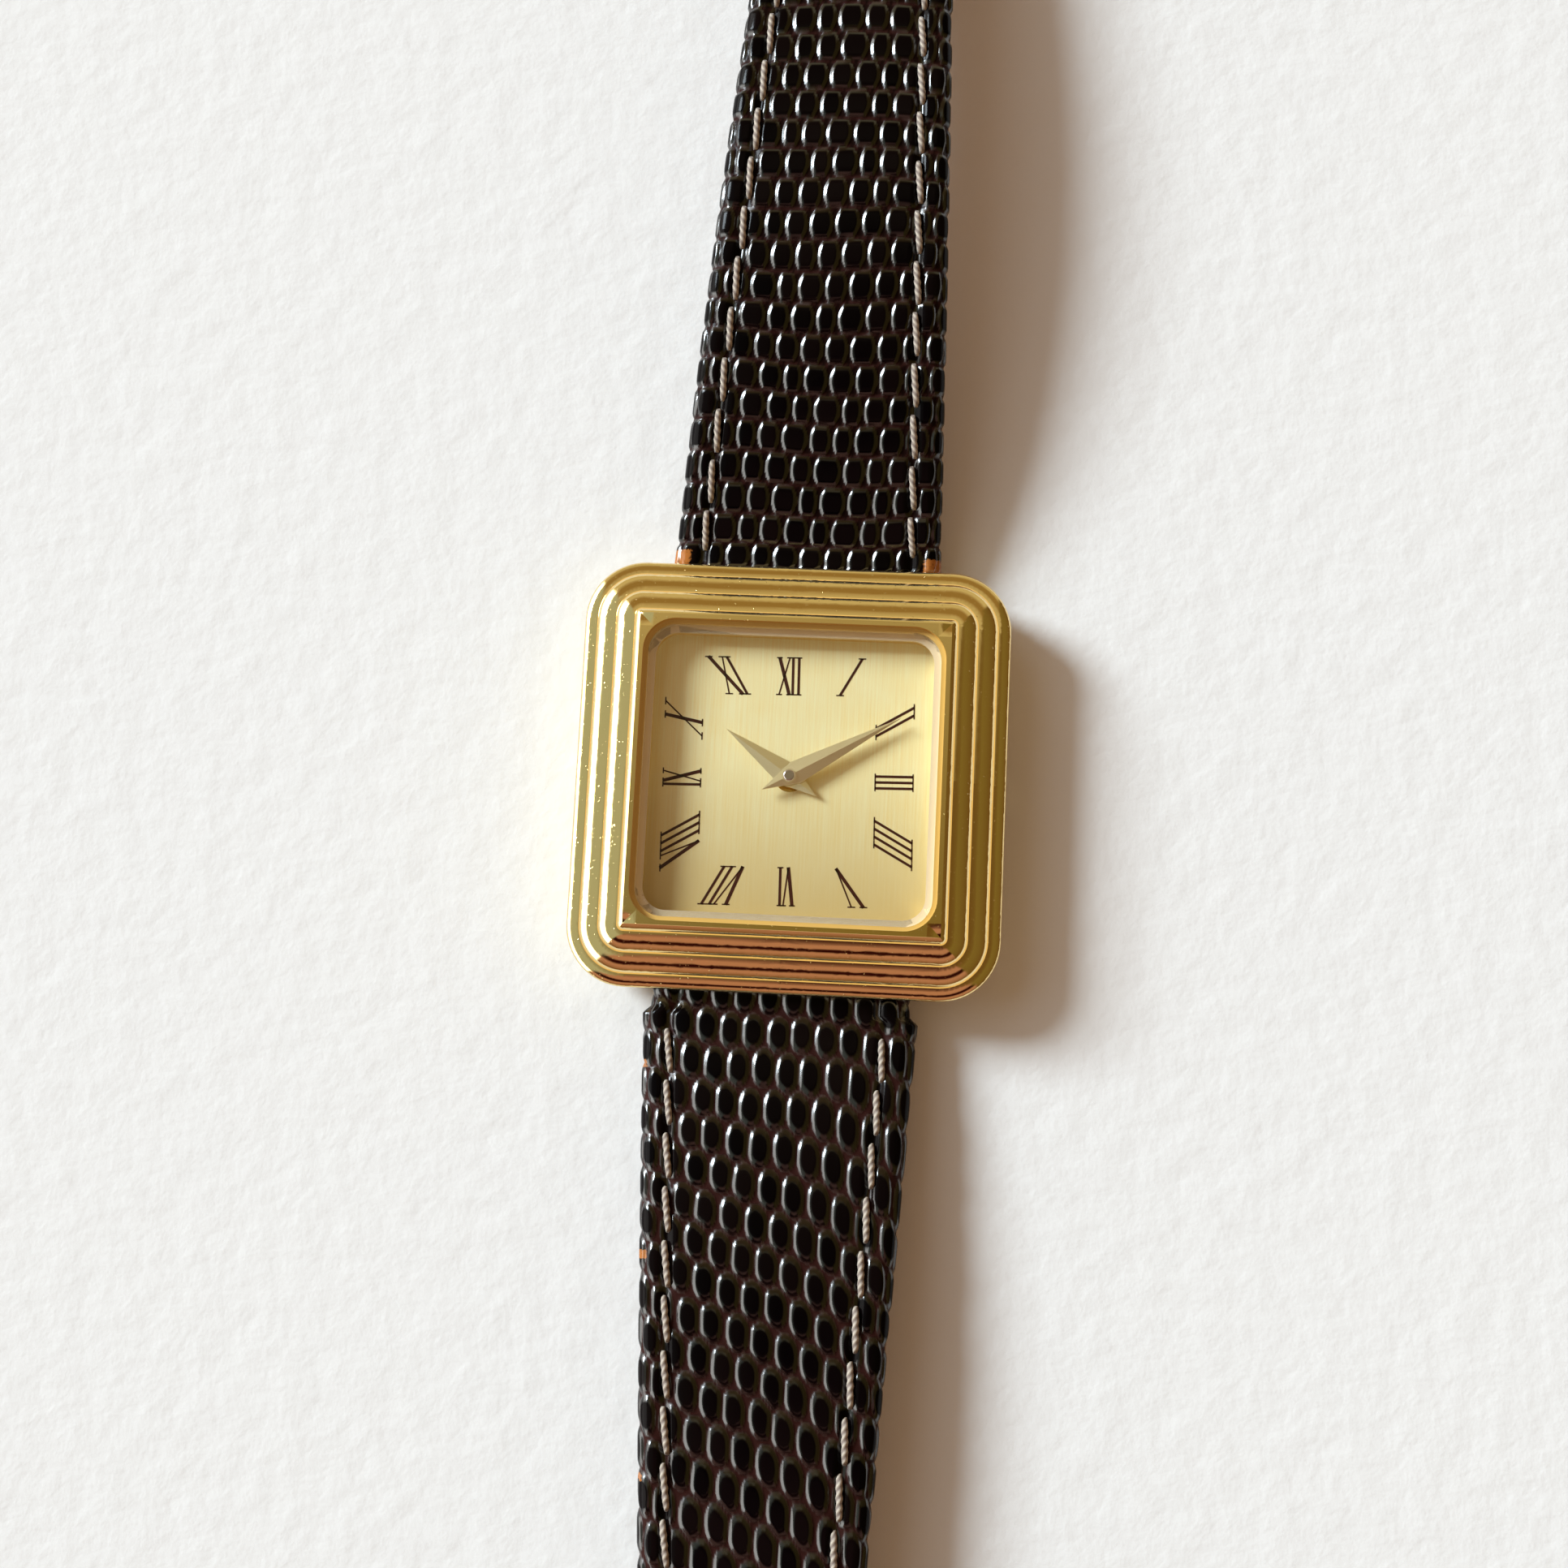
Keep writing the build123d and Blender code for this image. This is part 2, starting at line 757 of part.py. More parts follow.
def crown_tube():
    tube = rod(crown_bay_x - tube_inset, crown_bay_x + crown_gap + tube_stand, 0, stem_z, tube_r)
    return tube - rod(crown_bay_x - tube_inset, crown_bay_x + crown_gap + tube_stand, 0, stem_z, tube_bore_r)


def crown_seal():
    """The rubber ring in the crown's socket, round the stem."""
    end = crown_bay_x + crown_gap + crown_socket_depth
    ring = rod(end - seal_length, end, 0, stem_z, seal_r)
    return ring - rod(end - seal_length, end, 0, stem_z, stem_r)


def sliding_pinion():
    """The clutch wheel on the stem's square, toothed at both ends with a waist for its yoke."""
    low, high = pinion_x, pinion_x + pinion_length
    length = (high - low) * (1 - pinion_waist_share) / 2
    outline = tooth_outline(pinion_teeth, pinion_module, 0)
    toothed = Rot(0, 90, 0) * extrude(outline, length)
    body = Pos(low, 0, stem_z) * toothed + Pos(high - length, 0, stem_z) * toothed
    body += rod(low, high, 0, stem_z, pinion_hub_r)
    side = stem_square / 2 + square_clear
    return body - cuboid((low - overrun, -side, stem_z - side), (high + overrun, side, stem_z + side))


def setting_lever():
    """The lever whose finger stands in the stem's groove and swings as the crown is pulled."""
    sketch = Pos(lever_pivot_x, lever_pivot_y) * Circle(lever_r)
    finger = Polyline(
        (lever_pivot_x - lever_root_half, lever_pivot_y),
        (groove_x - lever_tip_half, lever_tip_y),
        (groove_x + lever_tip_half, lever_tip_y),
        (lever_pivot_x + lever_root_half, lever_pivot_y),
        close=True,
    )
    plate = Pos(0, 0, lever_z) * extrude(sketch + make_face(finger), lever_thick)
    hole = disc(lever_pivot_x, lever_pivot_y, lever_z - overrun, lever_z + overrun, lever_pin_r + lever_clear)
    return plate - hole


# Hands

def hand(length, tail, width, low, bore_r, angle):
    """A kite-shaped hand with a ridge along its middle, pointing at a clock angle."""
    half = width / 2
    widest = length * hand_widest_share
    outline = make_face(Polyline((0, length), (half, widest), (0, -tail), (-half, widest), close=True))
    blank = extrude(outline, hand_ridge)
    roof = make_face(Polyline((-half, 0), (half, 0), (half, hand_edge), (0, hand_ridge), (-half, hand_edge), close=True))
    ridge = Pos(0, length, 0) * extrude(Plane.XZ * roof, length + tail)
    shaped = (blank & ridge) + disc(0, 0, 0, hand_ridge, bore_r + hand_boss_wall)
    shaped -= disc(0, 0, -overrun, overrun, bore_r)
    return Pos(0, 0, low) * (Rot(0, 0, -angle) * shaped)


# Spring bars

def spring_bar(side):
    """A tube with shoulders and a thin tip at each end; the tips sit in the lugs."""
    half = lug_gap / 2 - bar_end_gap
    y = side * bar_y
    bar = rod(-half, half, y, bar_z, bar_r)
    bar += rod(-half - tip_shoulder, half + tip_shoulder, y, bar_z, tip_shoulder_r)
    reach = lug_gap / 2 + tip_reach
    return bar + rod(-reach, reach, y, bar_z, tip_r)


# Strap halves. Both are drawn towards +Y; the 6 o'clock half is then mirrored.

def side_line(runs):
    """Stations (y, z, slope, length so far) at both ends and the middle of each run, from the spring bar out."""
    y, z, slope, length = bar_y, bar_z, 0.0, 0.0
    stations = [(y, z, slope, length)]
    for size, turn in runs:
        for _ in range(2):
            if turn == 0:
                y += size / 2 * cos(slope)
                z += size / 2 * sin(slope)
                length += size / 2
            else:
                swing = radians(turn) / 2
                chord = 2 * size * sin(abs(swing) / 2)
                y += chord * cos(slope + swing / 2)
                z += chord * sin(slope + swing / 2)
                slope += swing
                length += size * abs(swing)
            stations.append((y, z, slope, length))
    return stations


def band_face(runs, low_offset, high_offset):
    """The side view of a band that follows the line, between two offsets from it, each a function of a station."""
    stations = side_line(runs)

    def offset_point(station, offset):
        y, z, slope, _ = station
        return (y - offset * sin(slope), z + offset * cos(slope))

    low = [offset_point(s, low_offset(s)) for s in stations]
    high = [offset_point(s, high_offset(s)) for s in stations]
    edges = [Line(low[0], high[0]), Line(low[-1], high[-1])]
    for points in (low, high):
        for index, (_, turn) in enumerate(runs):
            start, middle, end = points[2 * index: 2 * index + 3]
            edges.append(Line(start, end) if turn == 0 else ThreePointArc(start, middle, end))
    return Plane.YZ * make_face(edges)


def half_thickness(runs, end_thick, straight_from):
    """Half the strap's thickness at a station: full at the body, then falling evenly to the last run."""
    body_from = runs[0][0]

    def at(station):
        length = station[3]
        if length < body_from / 2:
            return strap_thick / 2
        share = min(1.0, max(0.0, (length - body_from) / (straight_from - body_from)))
        return (strap_body_thick + (end_thick - strap_body_thick) * share) / 2

    return at


runs_12 = [
    (neck_12, 0),
    (rise_12_r, rise_12_angle),
    (arch_12_r, -(rise_12_angle + fall_12_angle)),
    (run_12, 0),
]
runs_6 = [
    (neck_6, 0),
    (rise_6_r, rise_6_angle),
    (arch_6_r, -(rise_6_angle + fall_6_angle)),
    (slope_6, 0),
    (landing_6_r, fall_6_angle),
    (run_6, 0),
]
line_12 = side_line(runs_12)
line_6 = side_line(runs_6)
buckle_y, buckle_z = line_12[-1][0], line_12[-1][1]
tip_y = line_6[-1][0]
thickness_12 = half_thickness(runs_12, end_12_thick, line_12[-3][3])
thickness_6 = half_thickness(runs_6, end_6_thick, line_6[-3][3])


def plan_12():
    """The 12 o'clock half seen from above: neck, shoulders, and a taper that drifts sideways."""
    start, end = body_12_y, taper_12_end_y
    last = buckle_y + buckle_loop_r
    edges = []
    for side in (-1, 1):
        neck_x = side * neck_half
        body_x = side * body_half + drift_12_start
        end_x = side * end_half + drift_12
        edges.append(Line((neck_x, bar_y - strap_thick), (neck_x, start)))
        edges.append(Line((neck_x, start), (body_x, start)))
        edges.append(Line((body_x, start), (end_x, end)))
        edges.append(Line((end_x, end), (end_x, last)))
    edges.append(Line((-neck_half, bar_y - strap_thick), (neck_half, bar_y - strap_thick)))
    edges.append(Line((-end_half + drift_12, last), (end_half + drift_12, last)))
    return extrude(make_face(edges), case_half, both=True)


def plan_6():
    """The 6 o'clock half seen from above, drawn towards +Y: neck, shoulders, taper and rounded tip."""
    start, end = body_6_y, taper_6_end_y
    tip_start = tip_y - tip_length
    tip_shoulder_y = tip_y - tip_length / 2
    edges = []
    for side in (-1, 1):
        neck_x, body_x, end_x = side * neck_half, side * body_half, side * end_half
        edges.append(Line((neck_x, bar_y - strap_thick), (neck_x, start)))
        edges.append(Line((neck_x, start), (body_x, start)))
        edges.append(Line((body_x, start), (end_x, end)))
        edges.append(Line((end_x, end), (end_x, tip_start)))
        edges.append(Bezier((end_x, tip_start), (end_x, tip_shoulder_y), (end_x / 2, tip_y), (0, tip_y)))
    edges.append(Line((-neck_half, bar_y - strap_thick), (neck_half, bar_y - strap_thick)))
    return extrude(make_face(edges), case_half, both=True)


def across(face):
    """A side view run right across the strap's width."""
    return extrude(face, case_half, both=True)


def strap_layers(runs, thickness, plan, loops, slots):
    """The top leather, with its end loops, and the lining under it."""
    top_face = band_face(runs, lambda s: lining_thick - thickness(s), thickness)
    lining_face = band_face(runs, lambda s: -thickness(s), lambda s: lining_thick - thickness(s))
    top = across(top_face)
    lining = across(lining_face)
    for y, z, radius, _ in loops:
        top += rod(-case_half, case_half, y, z, radius)
        lining -= rod(-case_half, case_half, y, z, radius)
    for y, z, _, bore in loops:
        top -= rod(-case_half, case_half, y, z, bore)
    top &= plan
    lining &= plan
    for slot in slots:
        top -= slot
        lining -= slot
    return top, lining


def strap_12():
    loops = [
        (bar_y, bar_z, strap_thick / 2, bar_r + loop_clear),
        (buckle_y, buckle_z, buckle_loop_r, buckle_bar_r + loop_clear),
    ]
    slot_half = tongue_loop_width / 2 + tongue_slot_gap
    slot = cuboid(
        (drift_12 - slot_half, buckle_y - tongue_slot_reach, buckle_z - strap_thick),
        (drift_12 + slot_half, buckle_y + overrun, buckle_z + strap_thick),
    )
    return strap_layers(runs_12, thickness_12, plan_12(), loops, [slot])


def strap_6():
    loops = [(bar_y, bar_z, strap_thick / 2, bar_r + loop_clear)]
    holes = []
    for index in range(hole_count):
        y = tip_y - first_hole_to_tip - index * hole_pitch
        holes.append(disc(0, y, -overrun, case_half, hole_r))
    layers = strap_layers(runs_6, thickness_6, plan_6(), loops, holes)
    return [mirror(layer, about=Plane.XZ) for layer in layers]


def on_strap_end(distance):
    """The plane on the strap's middle surface, a distance back from the buckle bar, with Z out of the strap."""
    fall = radians(fall_12_angle)
    y = buckle_y - distance * cos(fall)
    z = buckle_z + distance * sin(fall)
    return Plane(origin=(drift_12, y, z), x_dir=(1, 0, 0), z_dir=(0, sin(fall), cos(fall)))


def keeper(distance):
    """A leather band round the strap, with room above it for the other half's end."""
    inner_half = end_half + keeper_side_gap
    inner_low = -end_12_thick / 2 - keeper_under_gap
    inner_high = end_12_thick / 2 + keeper_room
    height = inner_high - inner_low
    middle = (inner_high + inner_low) / 2
    outer = RectangleRounded(2 * (inner_half + keeper_wall), height + 2 * keeper_wall, keeper_wall + keeper_round)
    inner = RectangleRounded(2 * inner_half, height, keeper_inner_round)
    band = extrude(Plane.XZ * (outer - inner), keeper_width / 2, both=True)
    return on_strap_end(distance + keeper_width / 2).location * (Pos(0, 0, middle) * band)


# Buckle

def buckle_bar():
    reach = end_half + ear_gap + ear_width
    return rod(drift_12 - reach, drift_12 + reach, buckle_y, buckle_z, buckle_bar_r)


def buckle_frame():
    """A rod bent round three sides, with an eye at each end for the bar and a seat for the tongue."""
    rod_x = end_half + ear_gap + ear_width / 2
    path = FilletPolyline(
        (-rod_x, 0), (-rod_x, buckle_reach), (rod_x, buckle_reach), (rod_x, 0), radius=buckle_corner_r
    )
    section_plane = Plane(origin=path @ 0, x_dir=(1, 0, 0), z_dir=path % 0)
    section = section_plane * RectangleRounded(ear_width, buckle_rod, buckle_rod_round)
    frame = sweep(section, path=path)
    for side in (-1, 1):
        low = side * rod_x - ear_width / 2
        frame += rod(low, low + ear_width, 0, 0, ear_r)
        frame -= rod(low, low + ear_width, 0, 0, buckle_bar_r + buckle_bar_clear)
    seat_half = tongue_width / 2 + tongue_gap
    frame -= cuboid(
        (-seat_half, buckle_reach - ear_width, buckle_rod / 2 - tongue_seat_drop),
        (seat_half, buckle_reach + ear_width, buckle_rod),
    )
    return Pos(drift_12, buckle_y, buckle_z) * frame


def buckle_tongue():
    """The pin that goes through a strap hole: an eye on the bar and an arm that rests in the frame's seat."""
    seat_z = buckle_rod / 2 - tongue_seat_drop + tongue_gap
    end_y = buckle_reach + ear_width / 2 + tongue_overhang
    side_view = Polyline(
        (0, -tongue_thick / 2),
        (buckle_reach - ear_width, seat_z),
        (end_y, seat_z),
        (end_y, seat_z + tongue_thick / 2),
        (buckle_reach - ear_width, seat_z + tongue_thick),
        (0, tongue_thick / 2),
        close=True,
    )
    arm = extrude(Plane.YZ * make_face(side_view), tongue_width / 2, both=True)
    arm = fillet(arm.edges().filter_by(Axis.X).sort_by(Axis.Y)[-2:], tongue_round / 2)
    half = tongue_loop_width / 2
    arm += rod(-half, half, 0, 0, buckle_loop_r)
    arm -= rod(-half, half, 0, 0, buckle_bar_r + buckle_bar_clear)
    return Pos(drift_12, buckle_y, buckle_z) * arm


strap_12_top, strap_12_lining = strap_12()
strap_6_top, strap_6_lining = strap_6()
free_keeper_at = fixed_keeper_at + keeper_width + keeper_spacing

pieces = {
    "stepped_case": stepped_case(),
    "crystal": crystal(),
    "crystal_gasket": glass_gasket(),
    "dial_ring": dial_ring(),
    "dial": dial(),
    "hour_hand": hand(hour_length, hour_tail, hour_width, hour_hand_z, hour_pipe_r, hour_angle),
    "minute_hand": hand(minute_length, minute_tail, minute_width, minute_hand_z, spigot_r, minute_angle),
    "case_back": case_back(),
    "back_gasket": back_gasket(),
    "movement_holder": movement_holder(),
    "main_plate": main_plate(),
    "train_bridge": train_bridge(),
    "bridge_screws": bridge_screws(),
    "centre_wheel": centre_wheel(),
    "cannon_pinion": cannon_pinion(),
    "hour_wheel": hour_wheel(),
    "minute_wheel": minute_wheel(),
    "third_wheel": third_wheel(),
    "step_wheel": step_wheel(),
    "rotor": rotor(),
    "stator": stator(),
    "coil_core": coil_core(),
    "coil_winding": coil_winding(),
    "circuit_board": circuit_board(),
    "circuit_chip": circuit_chip(),
    "quartz_can": quartz_can(),
    "battery": battery(),
    "battery_clamp": battery_clamp(),
    "clamp_screw": clamp_screw(),
    "crown": crown(),
    "stem": stem(),
    "crown_tube": crown_tube(),
    "crown_seal": crown_seal(),
    "sliding_pinion": sliding_pinion(),
    "setting_lever": setting_lever(),
    "spring_bar_12": spring_bar(1),
    "spring_bar_6": spring_bar(-1),
    "strap_12_top": strap_12_top,
    "strap_12_lining": strap_12_lining,
    "strap_6_top": strap_6_top,
    "strap_6_lining": strap_6_lining,
    "fixed_keeper": keeper(fixed_keeper_at),
    "free_keeper": keeper(free_keeper_at),
    "buckle_bar": buckle_bar(),
    "buckle_frame": buckle_frame(),
    "buckle_tongue": buckle_tongue(),
}

for name, piece in pieces.items():
    export_step(piece, f"parts/{name}.step")
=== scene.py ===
"""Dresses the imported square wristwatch: stepped gold case, brushed dial, lizard strap and its stage."""
import json
import math

import bmesh
import bpy
import numpy as np
from mathutils import Matrix, Vector

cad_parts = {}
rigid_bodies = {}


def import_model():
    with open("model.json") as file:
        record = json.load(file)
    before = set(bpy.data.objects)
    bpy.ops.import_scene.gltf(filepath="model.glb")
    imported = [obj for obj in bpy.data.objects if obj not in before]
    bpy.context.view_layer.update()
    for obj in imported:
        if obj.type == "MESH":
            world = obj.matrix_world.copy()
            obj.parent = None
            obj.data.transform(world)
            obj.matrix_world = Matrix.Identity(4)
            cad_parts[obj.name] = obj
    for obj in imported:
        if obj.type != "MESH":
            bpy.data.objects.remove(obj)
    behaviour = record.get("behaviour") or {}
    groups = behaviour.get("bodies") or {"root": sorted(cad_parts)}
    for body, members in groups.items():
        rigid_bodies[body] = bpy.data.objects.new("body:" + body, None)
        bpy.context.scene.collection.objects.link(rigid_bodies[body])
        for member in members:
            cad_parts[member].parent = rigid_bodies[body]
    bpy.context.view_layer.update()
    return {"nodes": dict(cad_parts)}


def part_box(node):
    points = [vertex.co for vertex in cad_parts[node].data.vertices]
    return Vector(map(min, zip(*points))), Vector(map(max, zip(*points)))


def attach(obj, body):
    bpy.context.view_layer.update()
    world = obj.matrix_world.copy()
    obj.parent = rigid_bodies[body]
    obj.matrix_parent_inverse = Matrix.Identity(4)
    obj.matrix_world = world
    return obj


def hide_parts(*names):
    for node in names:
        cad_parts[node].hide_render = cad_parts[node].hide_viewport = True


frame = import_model()
NODES = frame["nodes"]

bl_info = {
    "name": "Square wristwatch",
    "version": (1, 0, 0),
    "blender": (4, 5, 0),
    "location": "View3D > Sidebar > Watch",
    "description": "Dresses the stepped gold wristwatch and its lizard strap",
    "category": "Add Mesh",
}

MM = 0.001
DIAL_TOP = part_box("dial")[1].z / MM
PHOTO_SIDE = 1932


def linear(text):
    """An sRGB hex colour as linear red, green, blue and alpha."""
    parts = [int(text[i : i + 2], 16) / 255 for i in (1, 3, 5)]
    return [c / 12.92 if c <= 0.04045 else ((c + 0.055) / 1.055) ** 2.4 for c in parts] + [1.0]


def add_node(tree, kind, settings=None, links=None, **attributes):
    """Adds a node with its attributes, its unlinked socket values and its incoming links."""
    made = tree.nodes.new(kind)
    for key, value in attributes.items():
        setattr(made, key, value)
    for key, value in (settings or {}).items():
        made.inputs[key].default_value = value
    for key, socket in (links or {}).items():
        tree.links.new(socket, made.inputs[key])
    return made


def start_material(name):
    material = bpy.data.materials.new(name)
    material.use_nodes = True
    material.node_tree.nodes.clear()
    return material, material.node_tree


def set_ramp(ramp_node, stops):
    """Replaces a ramp's stops by places and their red, green and blue."""
    elements = ramp_node.color_ramp.elements
    while len(elements) > 1:
        elements.remove(elements[-1])
    for index, (place, colour) in enumerate(stops):
        element = elements[0] if index == 0 else elements.new(place)
        element.position = place
        element.color = (*colour, 1.0)


def object_coordinates(tree, size_x, size_y=None, size_z=None):
    """Object coordinates with a pattern unit of so many millimetres, the same all ways if only one is given."""
    scale = [1 / (size * MM) for size in (size_x, size_y or size_x, size_z or size_x)]
    place = add_node(tree, "ShaderNodeTexCoord")
    return add_node(tree, "ShaderNodeMapping", {"Scale": scale}, {"Vector": place.outputs["Object"]})


def finish_material(tree, shader):
    add_node(tree, "ShaderNodeOutputMaterial", links={"Surface": shader.outputs[0]})


def dress(names, material):
    for name in names:
        node = NODES[name]
        node.data.materials.clear()
        node.data.materials.append(material)


def clear_selection():
    for thing in bpy.context.view_layer.objects:
        thing.select_set(False)


def settle(thing, name, material, body, replaces=()):
    """Names a finished piece, puts its place in its mesh, and ties it to the frame."""
    thing.name = name
    thing.data.name = name
    thing.data.transform(thing.matrix_world)
    thing.matrix_world = Matrix.Identity(4)
    thing.data.materials.clear()
    thing.data.materials.append(material)
    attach(thing, body)
    if replaces:
        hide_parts(*replaces)
    thing.select_set(False)
    return thing


def grid_piece(columns, rows):
    """A flat grid primitive, selected alone, whose points are then laid out."""
    clear_selection()
    bpy.ops.mesh.primitive_grid_add(x_subdivisions=columns, y_subdivisions=rows, size=1)
    return bpy.context.active_object


class Run:
    """The strap's side line from the spring bar out, in millimetres: straight runs and arcs."""

    def __init__(self, start, runs):
        y, z = start
        slope, length = 0.0, 0.0
        stations = [(length, y, z, slope)]
        for size, turn in runs:
            total = size if turn == 0 else size * abs(math.radians(turn))
            steps = max(1, int(total / 0.25))
            for _ in range(steps):
                swing = math.radians(turn) / steps
                ahead = total / steps
                y += ahead * math.cos(slope + swing / 2)
                z += ahead * math.sin(slope + swing / 2)
                slope += swing
                length += ahead
                stations.append((length, y, z, slope))
        self.table = np.array(stations).T
        self.length = length

    def at(self, along):
        s, y, z, slope = self.table
        over = np.asarray(along, float)
        slope_at = np.interp(over, s, slope)
        y_at = np.interp(over, s, y) + np.minimum(over, 0) * math.cos(slope[0])
        y_at = y_at + np.maximum(over - self.length, 0) * math.cos(slope[-1])
        z_at = np.interp(over, s, z) + np.maximum(over - self.length, 0) * math.sin(slope[-1])
        return y_at, z_at, slope_at


class StrapHalf:
    """One strap half: its run, thickness and plan. side is +1 towards 12 o'clock and -1 towards 6."""

    def __init__(self, side, runs, end_thick, body_y, taper_end_y, drift_start, drift):
        self.side = side
        self.run = Run((BAR_Y, BAR_Z), runs)
        self.neck = runs[0][0]
        self.straight_from = self.run.length - runs[-1][0]
        self.end_thick = end_thick
        self.body_y, self.taper_end_y = body_y, taper_end_y
        self.drift_start, self.drift = drift_start, drift

    def half_thick(self, along):
        share = np.clip((along - self.neck) / (self.straight_from - self.neck), 0, 1)
        body = (BODY_THICK + (self.end_thick - BODY_THICK) * share) / 2
        blend = np.clip((along - self.neck / 2) / (self.neck / 2), 0, 1)
        return NECK_THICK / 2 * (1 - blend) + body * blend

    def plan(self, along):
        """Half width and sideways drift at a place along the run."""
        y = self.run.at(along)[0]
        share = np.clip((y - self.body_y) / (self.taper_end_y - self.body_y), 0, 1)
        half = BODY_HALF + (END_HALF - BODY_HALF) * share
        centre = self.drift_start + (self.drift - self.drift_start) * share
        neck = np.clip((y - (self.body_y - 0.35)) / 0.45, 0, 1)
        return NECK_HALF * (1 - neck) + half * neck, centre * neck

    def place(self, along, across, offset):
        """Points in metres at a place along the run, across the strap and out from its middle line."""
        y, z, slope = self.run.at(along)
        return np.stack(
            [
                across * MM, self.side * (y - offset * np.sin(slope)) * MM, (z + offset * np.cos(slope)) * MM
            ], -1
        )


BAR_Y, BAR_Z = 11.6, 1.8
NECK_THICK, BODY_THICK = 2.3, 2.4
NECK_HALF, BODY_HALF, END_HALF = 8.15, 8.65, 6.0
DRIFT = 2.0
LINING_THICK = 0.6
EDGE_ROUND = 1.1
UPPER = StrapHalf(
    side=1,
    runs=[(2.3, 0), (8, 17), (105, -28), (20, 0)],
    end_thick=1.85,
    body_y=13.75,
    taper_end_y=61.5,
    drift_start=0.35,
    drift=DRIFT,
)
LOWER = StrapHalf(
    side=-1,
    runs=[(3.4, 0), (10, 8), (213, -14), (10.3, 0), (150, 6), (29, 0)],
    end_thick=1.8,
    body_y=14.9,
    taper_end_y=62.2,
    drift_start=0.0,
    drift=0.0,
)
BUCKLE_Y, BUCKLE_Z = 86.6055, 0.9922
# The upper half's end falls towards the buckle by this angle.
BUCKLE_FALL = math.radians(11)
TIP_LENGTH = 8.5
SLOT_HALF = 1.15
HOLE_COUNT, HOLE_PITCH, HOLE_RADIUS = 6, 6.0, 0.8
FIRST_HOLE_FROM_TIP = 22.0
# The leather starts this far out from the bars and ends this far short of the run's ends.
TOP_START, LINING_START = 0.78, 0.80
UPPER_END_GAP, LOWER_END_GAP = 0.72, 0.05
# The two stitch rows' distances inside the edges, left and right.
UPPER_ROWS, LOWER_ROWS = (1.85, 1.95), (1.75, 2.05)
KEEPER_WALL, KEEPER_WIDTH, KEEPER_CORNER = 0.7, 4.4, 1.0
FIXED_KEEPER_FROM_BAR, FREE_KEEPER_FROM_BAR = 4.1, 8.9


def brick_scales(across, along, pitch_across, pitch_along, seed):
    """Barrel-shaped scales in near-straight staggered rows, as on the upper half.

    Gives each point's distance inside its scale's edge in millimetres, how far it is from the scale's middle,
    a number that is the same over each scale, and how much the nearest edge runs across the strap."""
    dice = np.random.default_rng(seed)
    noise = dice.uniform(-1, 1, (97, 61, 2))
    wave = 0.07 * np.sin(across * 0.45 + along * 0.11) + 0.05 * np.sin(along * 0.37 + across * 0.21 + 1.3)
    row = along / pitch_along + wave
    this_row = np.floor(row).astype(int)
    column = across / pitch_across - 0.5 * (this_row % 2) - 0.16 * np.sin(this_row * 1.7)
    cell = np.floor(column).astype(int)
    low_edge = cell + 0.13 * noise[this_row % 97, cell % 61, 0]
    cell = np.where(column < low_edge, cell - 1, cell)
    low_edge = cell + 0.13 * noise[this_row % 97, cell % 61, 0]
    high_edge = cell + 1 + 0.13 * noise[this_row % 97, (cell + 1) % 61, 0]
    cell = np.where(column > high_edge, cell + 1, cell)
    low_edge = cell + 0.13 * noise[this_row % 97, cell % 61, 0]
    high_edge = cell + 1 + 0.13 * noise[this_row % 97, (cell + 1) % 61, 0]
    width = np.maximum(high_edge - low_edge, 0.3)
    u = np.abs((column - low_edge) / width * 2 - 1)
    v = np.abs((row - this_row) * 2 - 1)
    beside = (1 - 0.42 * v**2 - u) * width * pitch_across / 2
    gap = np.minimum(beside, (1 - v) * pitch_along / 2)
    return gap, np.maximum(u, v), noise[this_row % 97, cell % 61, 1], smooth(-0.05, 0.15, v - u)


def oval_scales(across, along, pitch_across, pitch_along, slant, squareness, seed):
    """Long ovals in slanting staggered rows, as on the lower half and the keepers; gives the same four."""
    dice = np.random.default_rng(seed)
    noise = dice.uniform(-1, 1, (97, 61, 3))
    wave = 0.10 * np.sin(across * 0.42 + along * 0.05) + 0.08 * np.sin(along * 0.21 + 1.3)
    row = (along + across * slant) / pitch_along + wave
    column = across / pitch_across
    base_row = np.floor(row).astype(int)
    nearest, second = np.full(across.shape, 1e9), np.full(across.shape, 1e9)
    tone, away_x, away_y = (np.zeros(across.shape) for _ in range(3))
    for step_row in (-1, 0, 1, 2):
        this_row = base_row + step_row
        offset = 0.5 * (this_row % 2) + 0.05 * np.sin(this_row * 1.7)
        base_column = np.floor(column - offset).astype(int)
        for step_column in (-1, 0, 1, 2):
            this_column = base_column + step_column
            dice_here = noise[this_row % 97, this_column % 61]
            dx = (column - this_column - offset - 0.06 * dice_here[..., 1]) * pitch_across
            dy = (row - this_row - 0.05 * dice_here[..., 0]) * pitch_along
            reach = np.sqrt(dx**2 + (dy * squareness) ** 2)
            closer = reach < nearest
            second = np.where(closer, nearest, np.minimum(second, reach))
            away_x, away_y = np.where(closer, dx, away_x), np.where(closer, dy, away_y)
            tone = np.where(closer, dice_here[..., 2], tone)
            nearest = np.minimum(nearest, reach)
    oval = (
        (np.abs(away_x) / (0.505 * pitch_across)) ** 2.2 + (np.abs(away_y) / (0.57 * pitch_along)) ** 2.2
    ) ** (1 / 2.2)
    gap = np.minimum((second - nearest) / 2, (1 - oval) * pitch_across / 2)
    return gap, oval, tone, np.ones(across.shape)


def smooth(low, high, value):
    t = np.clip((value - low) / (high - low), 0, 1)
    return t * t * (3 - 2 * t)


